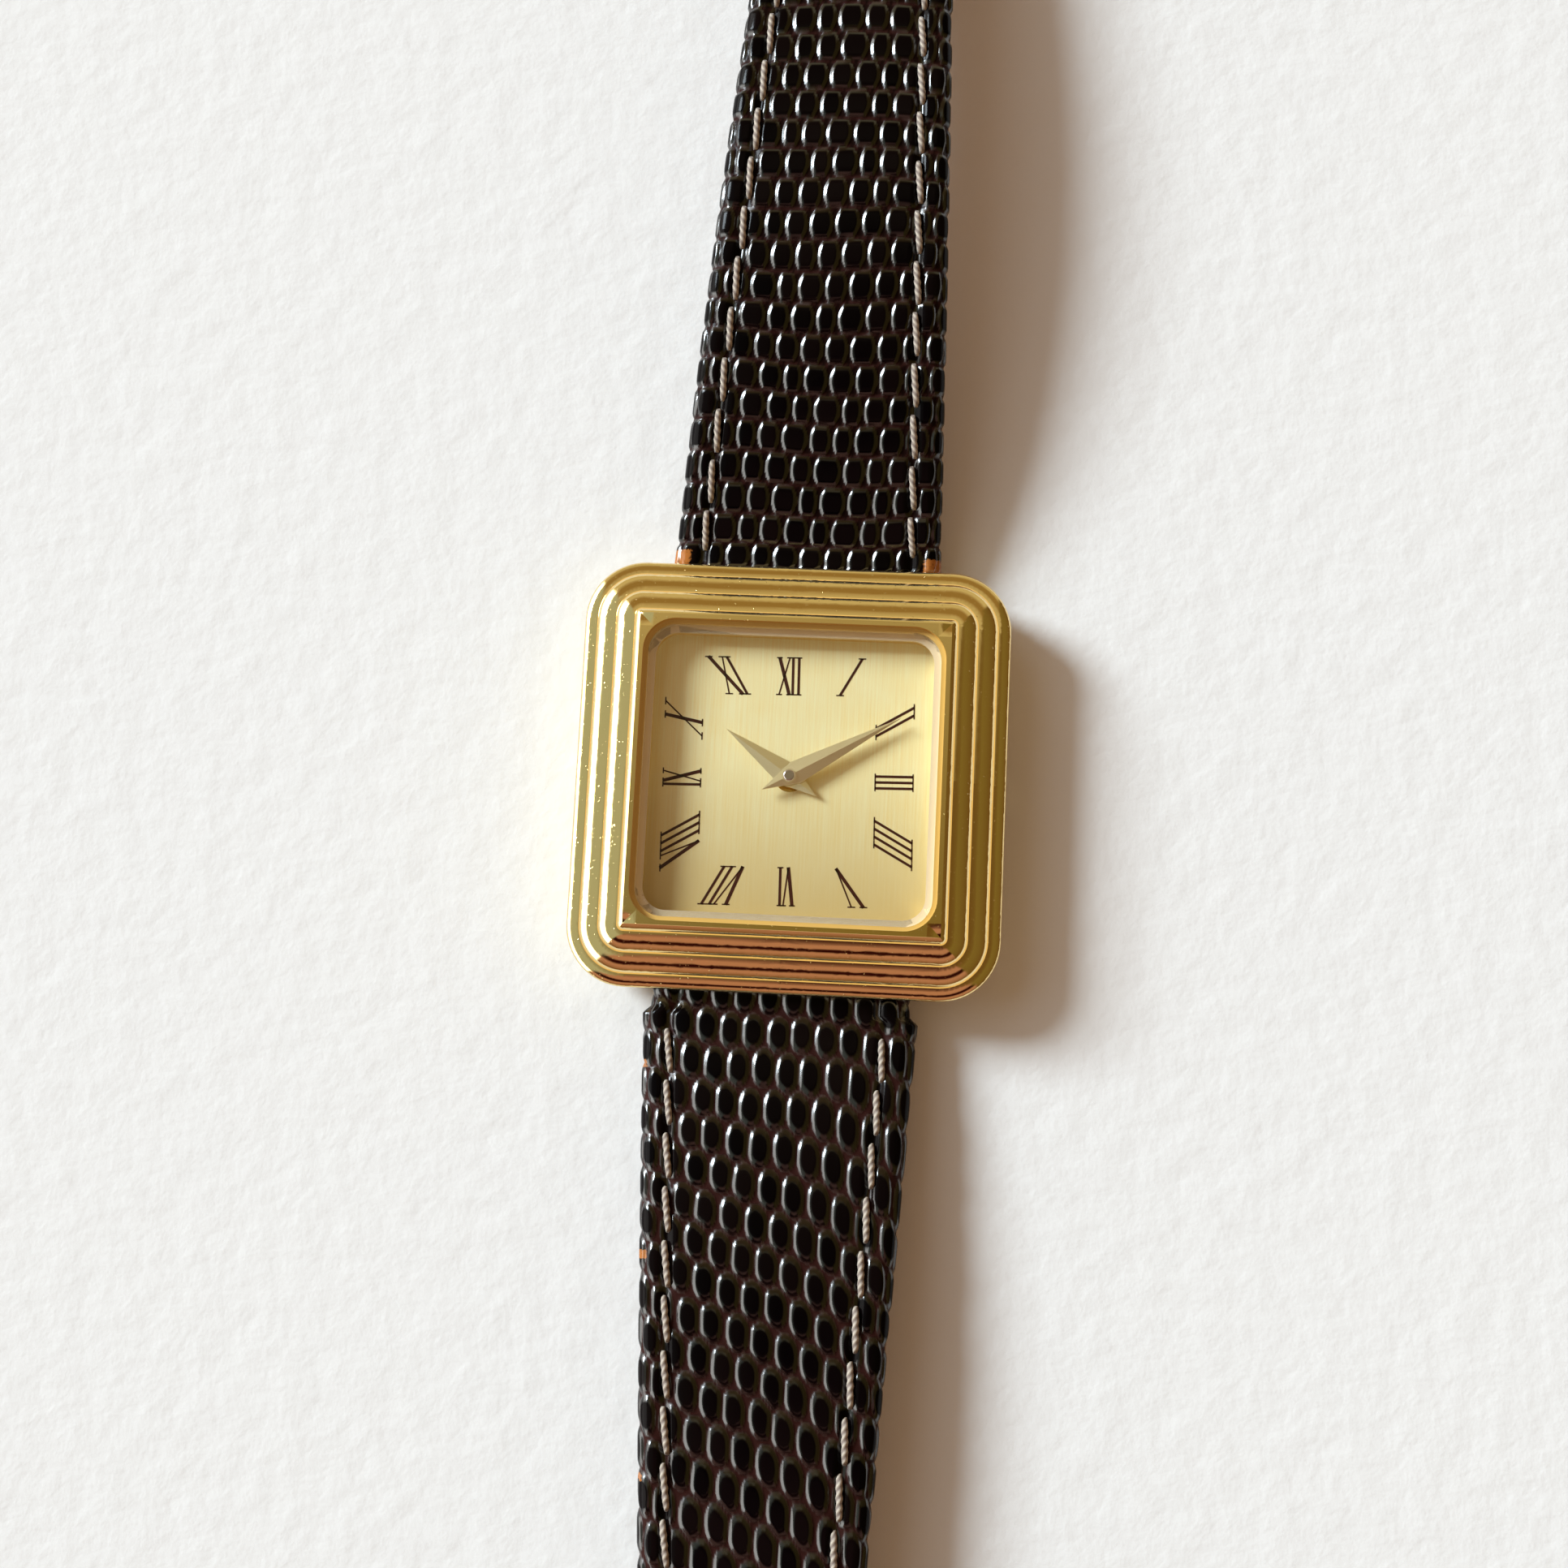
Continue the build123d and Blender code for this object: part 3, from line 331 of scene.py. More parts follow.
def scale_relief(gap, middle, tone):
    """Height of a glazed scale over its groove, in millimetres."""
    shoulder = np.clip(gap / 0.32, 0, 1)
    return 0.165 * (1 - (1 - shoulder) ** 1.55) + 0.03 * (1 - np.clip(middle, 0, 1) ** 2) + 0.012 * tone


def shoulder_shine(gap):
    """Where rubbing has polished a scale: its rounded edge, not its top or the groove."""
    return smooth(0.0, 0.05, gap) * (1 - smooth(0.22, 0.36, gap))


def add_attribute(mesh, name, values):
    layer = mesh.attributes.new(name, "FLOAT", "POINT")
    layer.data.foreach_set("value", np.asarray(values, np.float32).ravel())


def strap_top(half, start, end, settings, tip=False):
    """The lizard top leather: a grid wrapped over the padded body and closed underneath."""
    rows = int((end - start) / settings["step_along"])
    widest_wrap = 2 * (BODY_HALF - EDGE_ROUND) + 2 * (math.pi / 2 * EDGE_ROUND + 0.7)
    columns = int(widest_wrap / settings["step_across"])
    thing = grid_piece(columns, rows)
    mesh = thing.data
    count = len(mesh.vertices)
    flat = np.zeros(count * 3)
    mesh.vertices.foreach_get("co", flat)
    flat = flat.reshape(-1, 3) + 0.5
    u, v = flat[:, 0], flat[:, 1]
    along = start + (end - start) * (v + 0.32 * v * (v - 1))
    half_width, centre = half.plan(along)
    if tip:
        left = np.clip((end - along) / TIP_LENGTH, 0, 1)
        half_width = half_width * np.sqrt(np.clip(1 - (1 - left) ** 2.6, 0.0, 1))
        half_width = np.maximum(half_width, 0.9)
    thick = half.half_thick(along)
    low = LINING_THICK - thick
    radius = np.minimum(EDGE_ROUND, half_width * 0.9)
    side = np.maximum(thick - radius - low, 0.05)
    curve = math.pi / 2 * radius
    top = 2 * (half_width - radius)
    wrap = (u - 0.5) * (top + 2 * curve + 2 * side)
    arc = np.abs(wrap)
    sign = np.sign(wrap)
    on_top = arc <= top / 2
    angle = np.clip((arc - top / 2) / radius, 0, math.pi / 2)
    drop = np.clip(arc - top / 2 - curve, 0, None)
    across = np.where(on_top, arc, half_width - radius + radius * np.sin(angle))
    offset = np.where(on_top, thick, thick - radius + radius * np.cos(angle) - drop)
    normal_x = np.where(on_top, 0.0, np.sin(angle)) * sign
    normal_up = np.where(on_top, 1.0, np.cos(angle))
    crown = 0.18 * (1 - np.clip(arc / (top / 2 + 1e-6), 0, 1) ** 2)
    gap, middle, tone, border = settings["scales"](wrap, along)
    relief = scale_relief(gap, middle, tone)
    stitch_depth = np.zeros(count)
    for edge_sign, inside in zip((-1, 1), settings["stitch_inside"]):
        away = np.abs(wrap * edge_sign - (top / 2 + radius - inside))
        stitch_depth = np.maximum(stitch_depth, np.exp(-((away / 0.30) ** 2)))
    ends = smooth(0.0, 0.35, along - start) * (1 - smooth(-0.35, 0.0, along - end))
    bottom_edge = smooth(0.0, 0.4, side + curve + top / 2 - arc)
    out = (relief * (1 - 0.75 * stitch_depth) - 0.16 * stitch_depth) * ends * bottom_edge - 0.19
    out = out + crown * ends
    across_out = sign * across + out * normal_x
    offset_out = offset + out * normal_up
    points = half.place(along, centre + across_out, offset_out)
    mesh.vertices.foreach_set("co", points.ravel())
    add_attribute(mesh, "groove", (1 - smooth(0.0, 0.12, gap)) * (0.25 + 0.75 * border))
    add_attribute(mesh, "shoulder", shoulder_shine(gap))
    add_attribute(mesh, "tone", tone)
    wear = np.zeros(count)
    for place, edge_sign, reach in settings["worn"]:
        near_here = smooth(1.0, 0.6, np.abs(along - place) / reach)
        near = near_here * smooth(1.5 * reach, 0.9 * reach, half_width - np.abs(across))
        wear = np.maximum(wear, near * (sign == edge_sign))
    add_attribute(mesh, "wear", wear)
    close_underneath(mesh, columns, rows)
    return thing


def close_underneath(mesh, columns, rows):
    """Caps the open shell with a strip across each row and a face at each end, all facing out."""
    work = bmesh.new()
    work.from_mesh(mesh)
    work.verts.ensure_lookup_table()
    for row in range(rows):
        left = row * (columns + 1)
        corners = (left, left + columns, left + 2 * columns + 1, left + columns + 1)
        work.faces.new([work.verts[i] for i in corners])
    border = [e for e in work.edges if e.is_boundary]
    bmesh.ops.holes_fill(work, edges=border, sides=0)
    bmesh.ops.triangulate(
        work, faces=[f for f in work.faces if len(f.verts) > 4], quad_method="BEAUTY", ngon_method="EAR_CLIP"
    )
    bmesh.ops.recalc_face_normals(work, faces=work.faces[:])
    work.to_mesh(mesh)
    work.free()


def lining_layer(half, start, end, name):
    """The lining: a plain layer with softened edges under the top leather, a little narrower than it."""
    inset, radius = 0.12, 0.2
    steps, corners = 170, 6
    outline = []
    for corner in range(4):
        for index in range(corners):
            turn = math.pi / 2 * (corner + index / (corners - 1))
            outline.append((corner, math.cos(turn), math.sin(turn)))
    columns = len(outline)
    along = np.linspace(start, end, steps)
    half_width, centre = half.plan(along)
    half_width = half_width - inset
    if half is LOWER:
        left = np.clip((end - along) / TIP_LENGTH, 0, 1)
        half_width = np.maximum(half_width * np.sqrt(np.clip(1 - (1 - left) ** 2.6, 0, 1)), 0.85)
    low = -half.half_thick(along)
    high = low + LINING_THICK
    points = []
    for corner, cosine, sine in outline:
        side_x = 1 if corner in (0, 3) else -1
        side_z = 1 if corner in (0, 1) else -1
        across = side_x * (half_width - radius) + radius * cosine
        offset = np.where(side_z > 0, high - radius, low + radius) + radius * sine
        points.append(half.place(along, centre + across, offset))
    points = np.stack(points, 1).reshape(-1, 3)
    faces = []
    for row in range(steps - 1):
        for column in range(columns):
            after = (column + 1) % columns
            faces.append(
                (
                    row * columns + column,
                    row * columns + after,
                    (row + 1) * columns + after,
                    (row + 1) * columns + column,
                ),
            )
    faces.append(tuple(range(columns)))
    faces.append(tuple(range((steps - 1) * columns, steps * columns)))
    return mesh_piece(name, points, faces)


def mesh_piece(name, points, faces):
    mesh = bpy.data.meshes.new(name)
    mesh.from_pydata([tuple(p) for p in points], [], faces)
    work = bmesh.new()
    work.from_mesh(mesh)
    bmesh.ops.recalc_face_normals(work, faces=work.faces[:])
    work.to_mesh(mesh)
    work.free()
    thing = bpy.data.objects.new(name, mesh)
    bpy.context.scene.collection.objects.link(thing)
    return thing


def smooth_shading(thing, degrees=40):
    clear_selection()
    thing.select_set(True)
    bpy.context.view_layer.objects.active = thing
    bpy.ops.object.shade_smooth_by_angle(angle=math.radians(degrees))
    thing.select_set(False)


def bar_loop(name, centre, outward, radius, bore, reach, spans):
    """The leather turned round a bar: a rounded back, a flat front that joins the strap, and a round bore."""
    steps = 40
    profile_out, profile_in = [], []
    for index in range(steps):
        turn = 2 * math.pi * index / steps
        c, s = math.cos(turn), math.sin(turn)
        scale = radius if c <= 0 else min(reach / max(c, 1e-6), radius / max(abs(s), 1e-6))
        profile_out.append((c * scale, s * scale))
        profile_in.append((c * bore, s * bore))
    y, z, slope = centre
    points, faces = [], []
    for low, high in spans:
        first = len(points)
        for x in (low, high):
            for profile in (profile_out, profile_in):
                for e, n in profile:
                    e = e * outward[1]
                    py = y + e * math.cos(slope) - n * math.sin(slope)
                    pz = z + e * math.sin(slope) + n * math.cos(slope)
                    points.append((x * MM, outward[0] * py * MM, pz * MM))
        for index in range(steps):
            after = (index + 1) % steps
            a, b = first + index, first + after
            faces.append((a, b, b + 2 * steps, a + 2 * steps))
            faces.append((a + steps, b + steps, b + 3 * steps, a + 3 * steps))
            faces.append((a, b, b + steps, a + steps))
            faces.append((a + 2 * steps, b + 2 * steps, b + 3 * steps, a + 3 * steps))
    return mesh_piece(name, points, faces)


def gold_plate_material(colour):
    """Polished gold plate: mirror-bright, with fine rubbed scratches and a few nicks that catch the light."""
    material, tree = start_material("polished_gold_plate")
    fine = object_coordinates(tree, 0.9)
    swirl = add_node(
        tree,
        "ShaderNodeTexNoise",
        {"Scale": 1.0, "Detail": 6.0, "Roughness": 0.62},
        {"Vector": fine.outputs[0]},
    )
    nicks = add_node(
        tree,
        "ShaderNodeTexNoise",
        {"Scale": 5.5, "Detail": 2.0, "Roughness": 0.5},
        {"Vector": fine.outputs[0]},
    )
    nick_height = add_node(
        tree, "ShaderNodeMapRange", {"From Min": 0.70, "From Max": 0.76}, {"Value": nicks.outputs[0]}
    )
    wide = add_node(
        tree, "ShaderNodeBump", {"Strength": 0.05, "Distance": 0.02 * MM}, {"Height": swirl.outputs[0]}
    )
    bump = add_node(
        tree,
        "ShaderNodeBump",
        {"Strength": 0.6, "Distance": 0.012 * MM},
        {"Height": nick_height.outputs[0], "Normal": wide.outputs[0]},
    )
    rough = add_node(
        tree,
        "ShaderNodeMapRange",
        {"From Min": 0.35, "From Max": 0.7, "To Min": 0.05, "To Max": 0.12},
        {"Value": swirl.outputs[0]},
    )
    shader = add_node(
        tree,
        "ShaderNodeBsdfPrincipled",
        {"Base Color": linear(colour), "Metallic": 1.0},
        {"Roughness": rough.outputs[0], "Normal": bump.outputs[0]},
    )
    finish_material(tree, shader)
    return material


def plain_metal_material(name, colour, roughness, grain_mm):
    """Machined or stamped metal: a soft, slightly uneven sheen with a fine directional grain."""
    material, tree = start_material(name)
    place = object_coordinates(tree, grain_mm, grain_mm * 9)
    grain = add_node(tree, "ShaderNodeTexNoise", {"Scale": 1.0, "Detail": 3.0}, {"Vector": place.outputs[0]})
    bump = add_node(
        tree, "ShaderNodeBump", {"Strength": 0.12, "Distance": 0.01 * MM}, {"Height": grain.outputs[0]}
    )
    rough = add_node(
        tree,
        "ShaderNodeMapRange",
        {"To Min": roughness * 0.8, "To Max": roughness * 1.25},
        {"Value": grain.outputs[0]},
    )
    shader = add_node(
        tree,
        "ShaderNodeBsdfPrincipled",
        {"Base Color": linear(colour), "Metallic": 1.0},
        {"Roughness": rough.outputs[0], "Normal": bump.outputs[0]},
    )
    finish_material(tree, shader)
    return material


def plastic_material(name, colour, roughness):
    """Moulded plastic or rubber: even colour with a faint spark-eroded texture."""
    material, tree = start_material(name)
    place = object_coordinates(tree, 0.12)
    grain = add_node(tree, "ShaderNodeTexNoise", {"Scale": 1.0, "Detail": 2.0}, {"Vector": place.outputs[0]})
    bump = add_node(
        tree, "ShaderNodeBump", {"Strength": 0.15, "Distance": 0.01 * MM}, {"Height": grain.outputs[0]}
    )
    shader = add_node(
        tree,
        "ShaderNodeBsdfPrincipled",
        {"Base Color": linear(colour), "Roughness": roughness, "IOR": 1.48},
        {"Normal": bump.outputs[0]},
    )
    finish_material(tree, shader)
    return material


def dial_material(colour, shade):
    """Gilt brass dial, brushed from 12 to 6, with painted shade that darkens it a little towards 6."""
    material, tree = start_material("brushed_gilt_brass")
    lines = object_coordinates(tree, 0.11, 6.0, 1000.0)
    brush = add_node(
        tree,
        "ShaderNodeTexNoise",
        {"Scale": 1.0, "Detail": 4.0, "Roughness": 0.65},
        {"Vector": lines.outputs[0]},
    )
    blotch_place = object_coordinates(tree, 2.4)
    blotch = add_node(
        tree, "ShaderNodeTexNoise", {"Scale": 1.0, "Detail": 3.0}, {"Vector": blotch_place.outputs[0]}
    )
    both = add_node(
        tree,
        "ShaderNodeMath",
        {1: 0.35},
        {0: blotch.outputs[0], 2: brush.outputs[0]},
        operation="MULTIPLY_ADD",
    )
    tint = add_node(
        tree, "ShaderNodeMapRange", {"From Min": 0.4, "From Max": 1.0}, {"Value": both.outputs[0]}
    )
    plain = add_node(
        tree, "ShaderNodeMix", {6: linear(shade), 7: linear(colour)}, {0: tint.outputs[0]}, data_type="RGBA"
    )
    place = add_node(tree, "ShaderNodeTexCoord")
    height = add_node(tree, "ShaderNodeSeparateXYZ", links={0: place.outputs["Object"]})
    # Painted shade: the dial's colour darkens towards #c5a86b from 12 towards 6, standing in for the light
    # falling off down the dial.
    shade_towards_six = add_node(
        tree,
        "ShaderNodeMapRange",
        {"From Min": 1.0 * MM, "From Max": -10.0 * MM},
        {"Value": height.outputs["Y"]},
    )
    mix = add_node(
        tree,
        "ShaderNodeMix",
        {7: linear("#c5a86b")},
        {0: shade_towards_six.outputs[0], 6: plain.outputs[2]},
        data_type="RGBA",
    )
    bump = add_node(
        tree, "ShaderNodeBump", {"Strength": 0.25, "Distance": 0.01 * MM}, {"Height": brush.outputs[0]}
    )
    shader = add_node(
        tree,
        "ShaderNodeBsdfPrincipled",
        {"Roughness": 0.5},
        {"Base Color": mix.outputs[2], "Normal": bump.outputs[0]},
    )
    finish_material(tree, shader)
    return material


def crystal_material():
    """Flat polished mineral glass: it reflects by the viewing angle and lets light straight through."""
    material, tree = start_material("mineral_glass")
    angle = add_node(tree, "ShaderNodeFresnel", {"IOR": 1.52})
    side = add_node(tree, "ShaderNodeNewGeometry")
    outside = add_node(
        tree, "ShaderNodeMath", {0: 1.0}, {1: side.outputs["Backfacing"]}, operation="SUBTRACT"
    )
    share = add_node(
        tree, "ShaderNodeMath", links={0: angle.outputs[0], 1: outside.outputs[0]}, operation="MULTIPLY"
    )
    through = add_node(tree, "ShaderNodeBsdfTransparent", {"Color": (0.99, 0.995, 0.99, 1.0)})
    mirror = add_node(tree, "ShaderNodeBsdfGlossy", {"Roughness": 0.02})
    mix = add_node(
        tree, "ShaderNodeMixShader", links={0: share.outputs[0], 1: through.outputs[0], 2: mirror.outputs[0]}
    )
    finish_material(tree, mix)
    return material


def gasket_material():
    """Acetal glass gasket: pale pinkish under the glass, aged to amber along its bare upper lip."""
    material, tree = start_material("aged_acetal_gasket")
    place = add_node(tree, "ShaderNodeTexCoord")
    height = add_node(tree, "ShaderNodeSeparateXYZ", links={0: place.outputs["Object"]})
    lip = add_node(
        tree,
        "ShaderNodeMapRange",
        {"From Min": 5.5 * MM, "From Max": 5.9 * MM},
        {"Value": height.outputs["Z"]},
    )
    mix = add_node(
        tree,
        "ShaderNodeMix",
        {6: linear("#f1dcb8"), 7: linear("#d9b061")},
        {0: lip.outputs[0]},
        data_type="RGBA",
    )
    shader = add_node(
        tree, "ShaderNodeBsdfPrincipled", {"Roughness": 0.35, "IOR": 1.48}, {"Base Color": mix.outputs[2]}
    )
    finish_material(tree, shader)
    return material


def ink_material():
    """Printed dial ink: dark brown-black, slightly raised and softly glossy."""
    material, tree = start_material("printed_dial_ink")
    place = object_coordinates(tree, 0.2)
    noise = add_node(tree, "ShaderNodeTexNoise", {"Scale": 1.0, "Detail": 3.0}, {"Vector": place.outputs[0]})
    mix = add_node(
        tree,
        "ShaderNodeMix",
        {6: linear("#33100a"), 7: linear("#451a10")},
        {0: noise.outputs[0]},
        data_type="RGBA",
    )
    shader = add_node(
        tree, "ShaderNodeBsdfPrincipled", {"Roughness": 0.7, "IOR": 1.2}, {"Base Color": mix.outputs[2]}
    )
    finish_material(tree, shader)
    return material


def lizard_material(settings):
    """Glazed lizard skin: hard, glossy, near-black brown scales, reddish grooves and corners worn to tan."""
    material, tree = start_material("glazed_lizard_skin")
    groove = add_node(tree, "ShaderNodeAttribute", attribute_name="groove")
    tone = add_node(tree, "ShaderNodeAttribute", attribute_name="tone")
    wear = add_node(tree, "ShaderNodeAttribute", attribute_name="wear")
    place = object_coordinates(tree, 0.16)
    pores = add_node(
        tree,
        "ShaderNodeTexNoise",
        {"Scale": 1.0, "Detail": 5.0, "Roughness": 0.6},
        {"Vector": place.outputs[0]},
    )
    tone_share = add_node(
        tree, "ShaderNodeMapRange", {"From Min": -1.0, "From Max": 1.0}, {"Value": tone.outputs["Fac"]}
    )
    scale_colour = add_node(
        tree, "ShaderNodeMix", {
            6: linear(settings.scale_dark), 7: linear(settings.scale_light)
        }, {0: tone_share.outputs[0]}, data_type="RGBA"
    )
    grooved = add_node(
        tree,
        "ShaderNodeMix",
        {7: linear(settings.groove_colour)},
        {0: groove.outputs["Fac"], 6: scale_colour.outputs[2]},
        data_type="RGBA",
    )
    frayed = add_node(
        tree, "ShaderNodeMath", links={0: wear.outputs["Fac"], 1: pores.outputs[0]}, operation="MULTIPLY"
    )
    bare = add_node(
        tree, "ShaderNodeMapRange", {"From Min": 0.28, "From Max": 0.42}, {"Value": frayed.outputs[0]}
    )
    worn = add_node(
        tree,
        "ShaderNodeMix",
        {7: linear(settings.wear_colour)},
        {0: bare.outputs[0], 6: grooved.outputs[2]},
        data_type="RGBA",
    )
    shoulder = add_node(tree, "ShaderNodeAttribute", attribute_name="shoulder")
    rough = add_node(
        tree, "ShaderNodeMapRange", {"To Min": 0.13, "To Max": 0.5}, {"Value": groove.outputs["Fac"]}
    )
    gloss = add_node(
        tree,
        "ShaderNodeMapRange",
        {"From Min": 0.3, "To Min": 0.05, "To Max": 0.8},
        {"Value": shoulder.outputs["Fac"]},
    )
    bump = add_node(
        tree, "ShaderNodeBump", {"Strength": 0.15, "Distance": 0.02 * MM}, {"Height": pores.outputs[0]}
    )
    shader = add_node(
        tree,
        "ShaderNodeBsdfPrincipled",
        {"IOR": 1.5},
        {
            "Base Color": worn.outputs[2],
            "Roughness": rough.outputs[0],
            "Specular IOR Level": gloss.outputs[0],
            "Normal": bump.outputs[0],
        },
    )
    finish_material(tree, shader)
    return material


def lining_material():
    """Plain tan calf lining: matt, with a fine pore pattern and slight darkening."""
    material, tree = start_material("tan_calf_lining")
    place = object_coordinates(tree, 0.35)
    pores = add_node(tree, "ShaderNodeTexVoronoi", {"Scale": 1.0}, {"Vector": place.outputs[0]})
    wide_place = object_coordinates(tree, 6.0)
    wide = add_node(
        tree, "ShaderNodeTexNoise", {"Scale": 1.0, "Detail": 4.0}, {"Vector": wide_place.outputs[0]}
    )
    mix = add_node(
        tree,
        "ShaderNodeMix",
        {6: linear("#6b4526"), 7: linear("#94673d")},
        {0: wide.outputs[0]},
        data_type="RGBA",
    )
    bump = add_node(
        tree, "ShaderNodeBump", {"Strength": 0.35, "Distance": 0.03 * MM}, {"Height": pores.outputs[0]}
    )
    shader = add_node(
        tree,
        "ShaderNodeBsdfPrincipled",
        {"Roughness": 0.62, "IOR": 1.48},
        {"Base Color": mix.outputs[2], "Normal": bump.outputs[0]},
    )
    finish_material(tree, shader)
    return material


def thread_material(colour, shade):
    """Waxed linen thread: two plies whose slanted turns show as paler ridges, with painted shade darkening the
    creases between the turns.
    """
    material, tree = start_material("waxed_linen_thread")
    twist = add_node(tree, "ShaderNodeAttribute", attribute_name="twist")
    wave = add_node(tree, "ShaderNodeMath", links={0: twist.outputs["Fac"]}, operation="SINE")
    share = add_node(
        tree, "ShaderNodeMapRange", {"From Min": -1.0, "From Max": 1.0}, {"Value": wave.outputs[0]}
    )
    # Painted shade: the colour darkens between the plies' turns, where shade falls in the creases.
    mix = add_node(
        tree, "ShaderNodeMix", {6: linear(shade), 7: linear(colour)}, {0: share.outputs[0]}, data_type="RGBA"
    )
    bump = add_node(
        tree, "ShaderNodeBump", {"Strength": 0.8, "Distance": 0.05 * MM}, {"Height": share.outputs[0]}
    )
    shader = add_node(
        tree,
        "ShaderNodeBsdfPrincipled",
        {"Roughness": 0.7, "Sheen Weight": 0.2},
        {"Base Color": mix.outputs[2], "Normal": bump.outputs[0]},
    )
    finish_material(tree, shader)
    return material


def paper_material(colour):
    """White cotton paper on the table, with soft felt-side dimples."""
    material, tree = start_material("white_cotton_paper")
    place = object_coordinates(tree, 2.2)
    felt = add_node(
        tree,
        "ShaderNodeTexNoise",
        {"Scale": 1.0, "Detail": 4.0, "Roughness": 0.55},
        {"Vector": place.outputs[0]},
    )
    bump = add_node(
        tree, "ShaderNodeBump", {"Strength": 0.36, "Distance": 0.3 * MM}, {"Height": felt.outputs[0]}
    )
    shader = add_node(
        tree,
        "ShaderNodeBsdfPrincipled",
        {"Base Color": linear(colour), "Roughness": 0.9},
        {"Normal": bump.outputs[0]},
    )
    finish_material(tree, shader)
    return material


def hex_property(name, thing, default):
    return bpy.props.StringProperty(name=name, description="sRGB colour of " + thing, default=default)


class WATCH_PG_strap(bpy.types.PropertyGroup):
    """Sizes and colours of the lizard strap"""

    steps: bpy.props.FloatVectorProperty(
        name="Surface steps",
        description="Mean spacing of the strap's surface points across and along, in millimetres",
        size=2,
        default=(0.102, 0.205),
    )
    upper_pitch: bpy.props.FloatVectorProperty(
        name="Upper scales",
        description="Scale spacing across and along the upper half, in millimetres",
        size=2,
        default=(1.56, 1.93),
    )
    lower_pitch: bpy.props.FloatVectorProperty(
        name="Lower scales",
        description="Scale spacing across and along the lower half, in millimetres",
        size=2,
        default=(1.50, 2.30),
    )
    scale_dark: hex_property("Scale colour", "the darkest scales", "#040203")
    scale_light: hex_property("Paler scale colour", "the palest scales", "#0e0707")
    groove_colour: hex_property("Groove colour", "the grooves between scales", "#301713")
    wear_colour: hex_property("Worn colour", "bare leather at worn corners", "#a9672f")


class WATCH_PG_stitch(bpy.types.PropertyGroup):
    """Sizes and colours of the stitching"""

    pitch: bpy.props.FloatProperty(
        name="Pitch", description="Distance from stitch to stitch in millimetres", default=3.2
    )
    shown: bpy.props.FloatProperty(
        name="Shown length", description="Length of one stitch that shows, in millimetres", default=2.75
    )
    radius: bpy.props.FloatProperty(
        name="Radius", description="Half the thread's thickness in millimetres", default=0.2
    )
    thread: hex_property("Thread colour", "the thread's lit turns", "#c2b4a2")
    # Painted shade: the darker colour given to the creases between the thread's turns.
    thread_shade: hex_property("Thread shade", "the thread between its turns", "#84746a")


class WATCH_PG_case(bpy.types.PropertyGroup):
    """Colours of the case, dial and hands"""

    gold: hex_property("Gold plate", "the gold plate", "#f3d799")
    dial: hex_property("Dial", "the dial's pale brushed lines", "#fff8c8")
    dial_shade: hex_property("Dial shade", "the dial's darker brushed lines", "#f8df99")
    hands: hex_property("Hands", "the hands", "#f4e4be")


class WATCH_PG_stage(bpy.types.PropertyGroup):
    """The floor, the lamps and the camera"""

    floor: hex_property("Floor", "the paper floor", "#f4f3f0")
    sun: bpy.props.FloatProperty(
        name="Window light", description="Strength of the window's light", default=4.6
    )
    fill: hex_property("Room light", "the light from the rest of the room", "#8f7359")
    elevation: bpy.props.FloatProperty(
        name="Light height",
        description="Height of the window light over the floor",
        default=math.radians(29.5),
        unit="ROTATION",
    )
    bearing: bpy.props.FloatProperty(
        name="Light bearing",
        description="Turn of the window light from the left towards the top",
        default=math.radians(27),
        unit="ROTATION",
    )


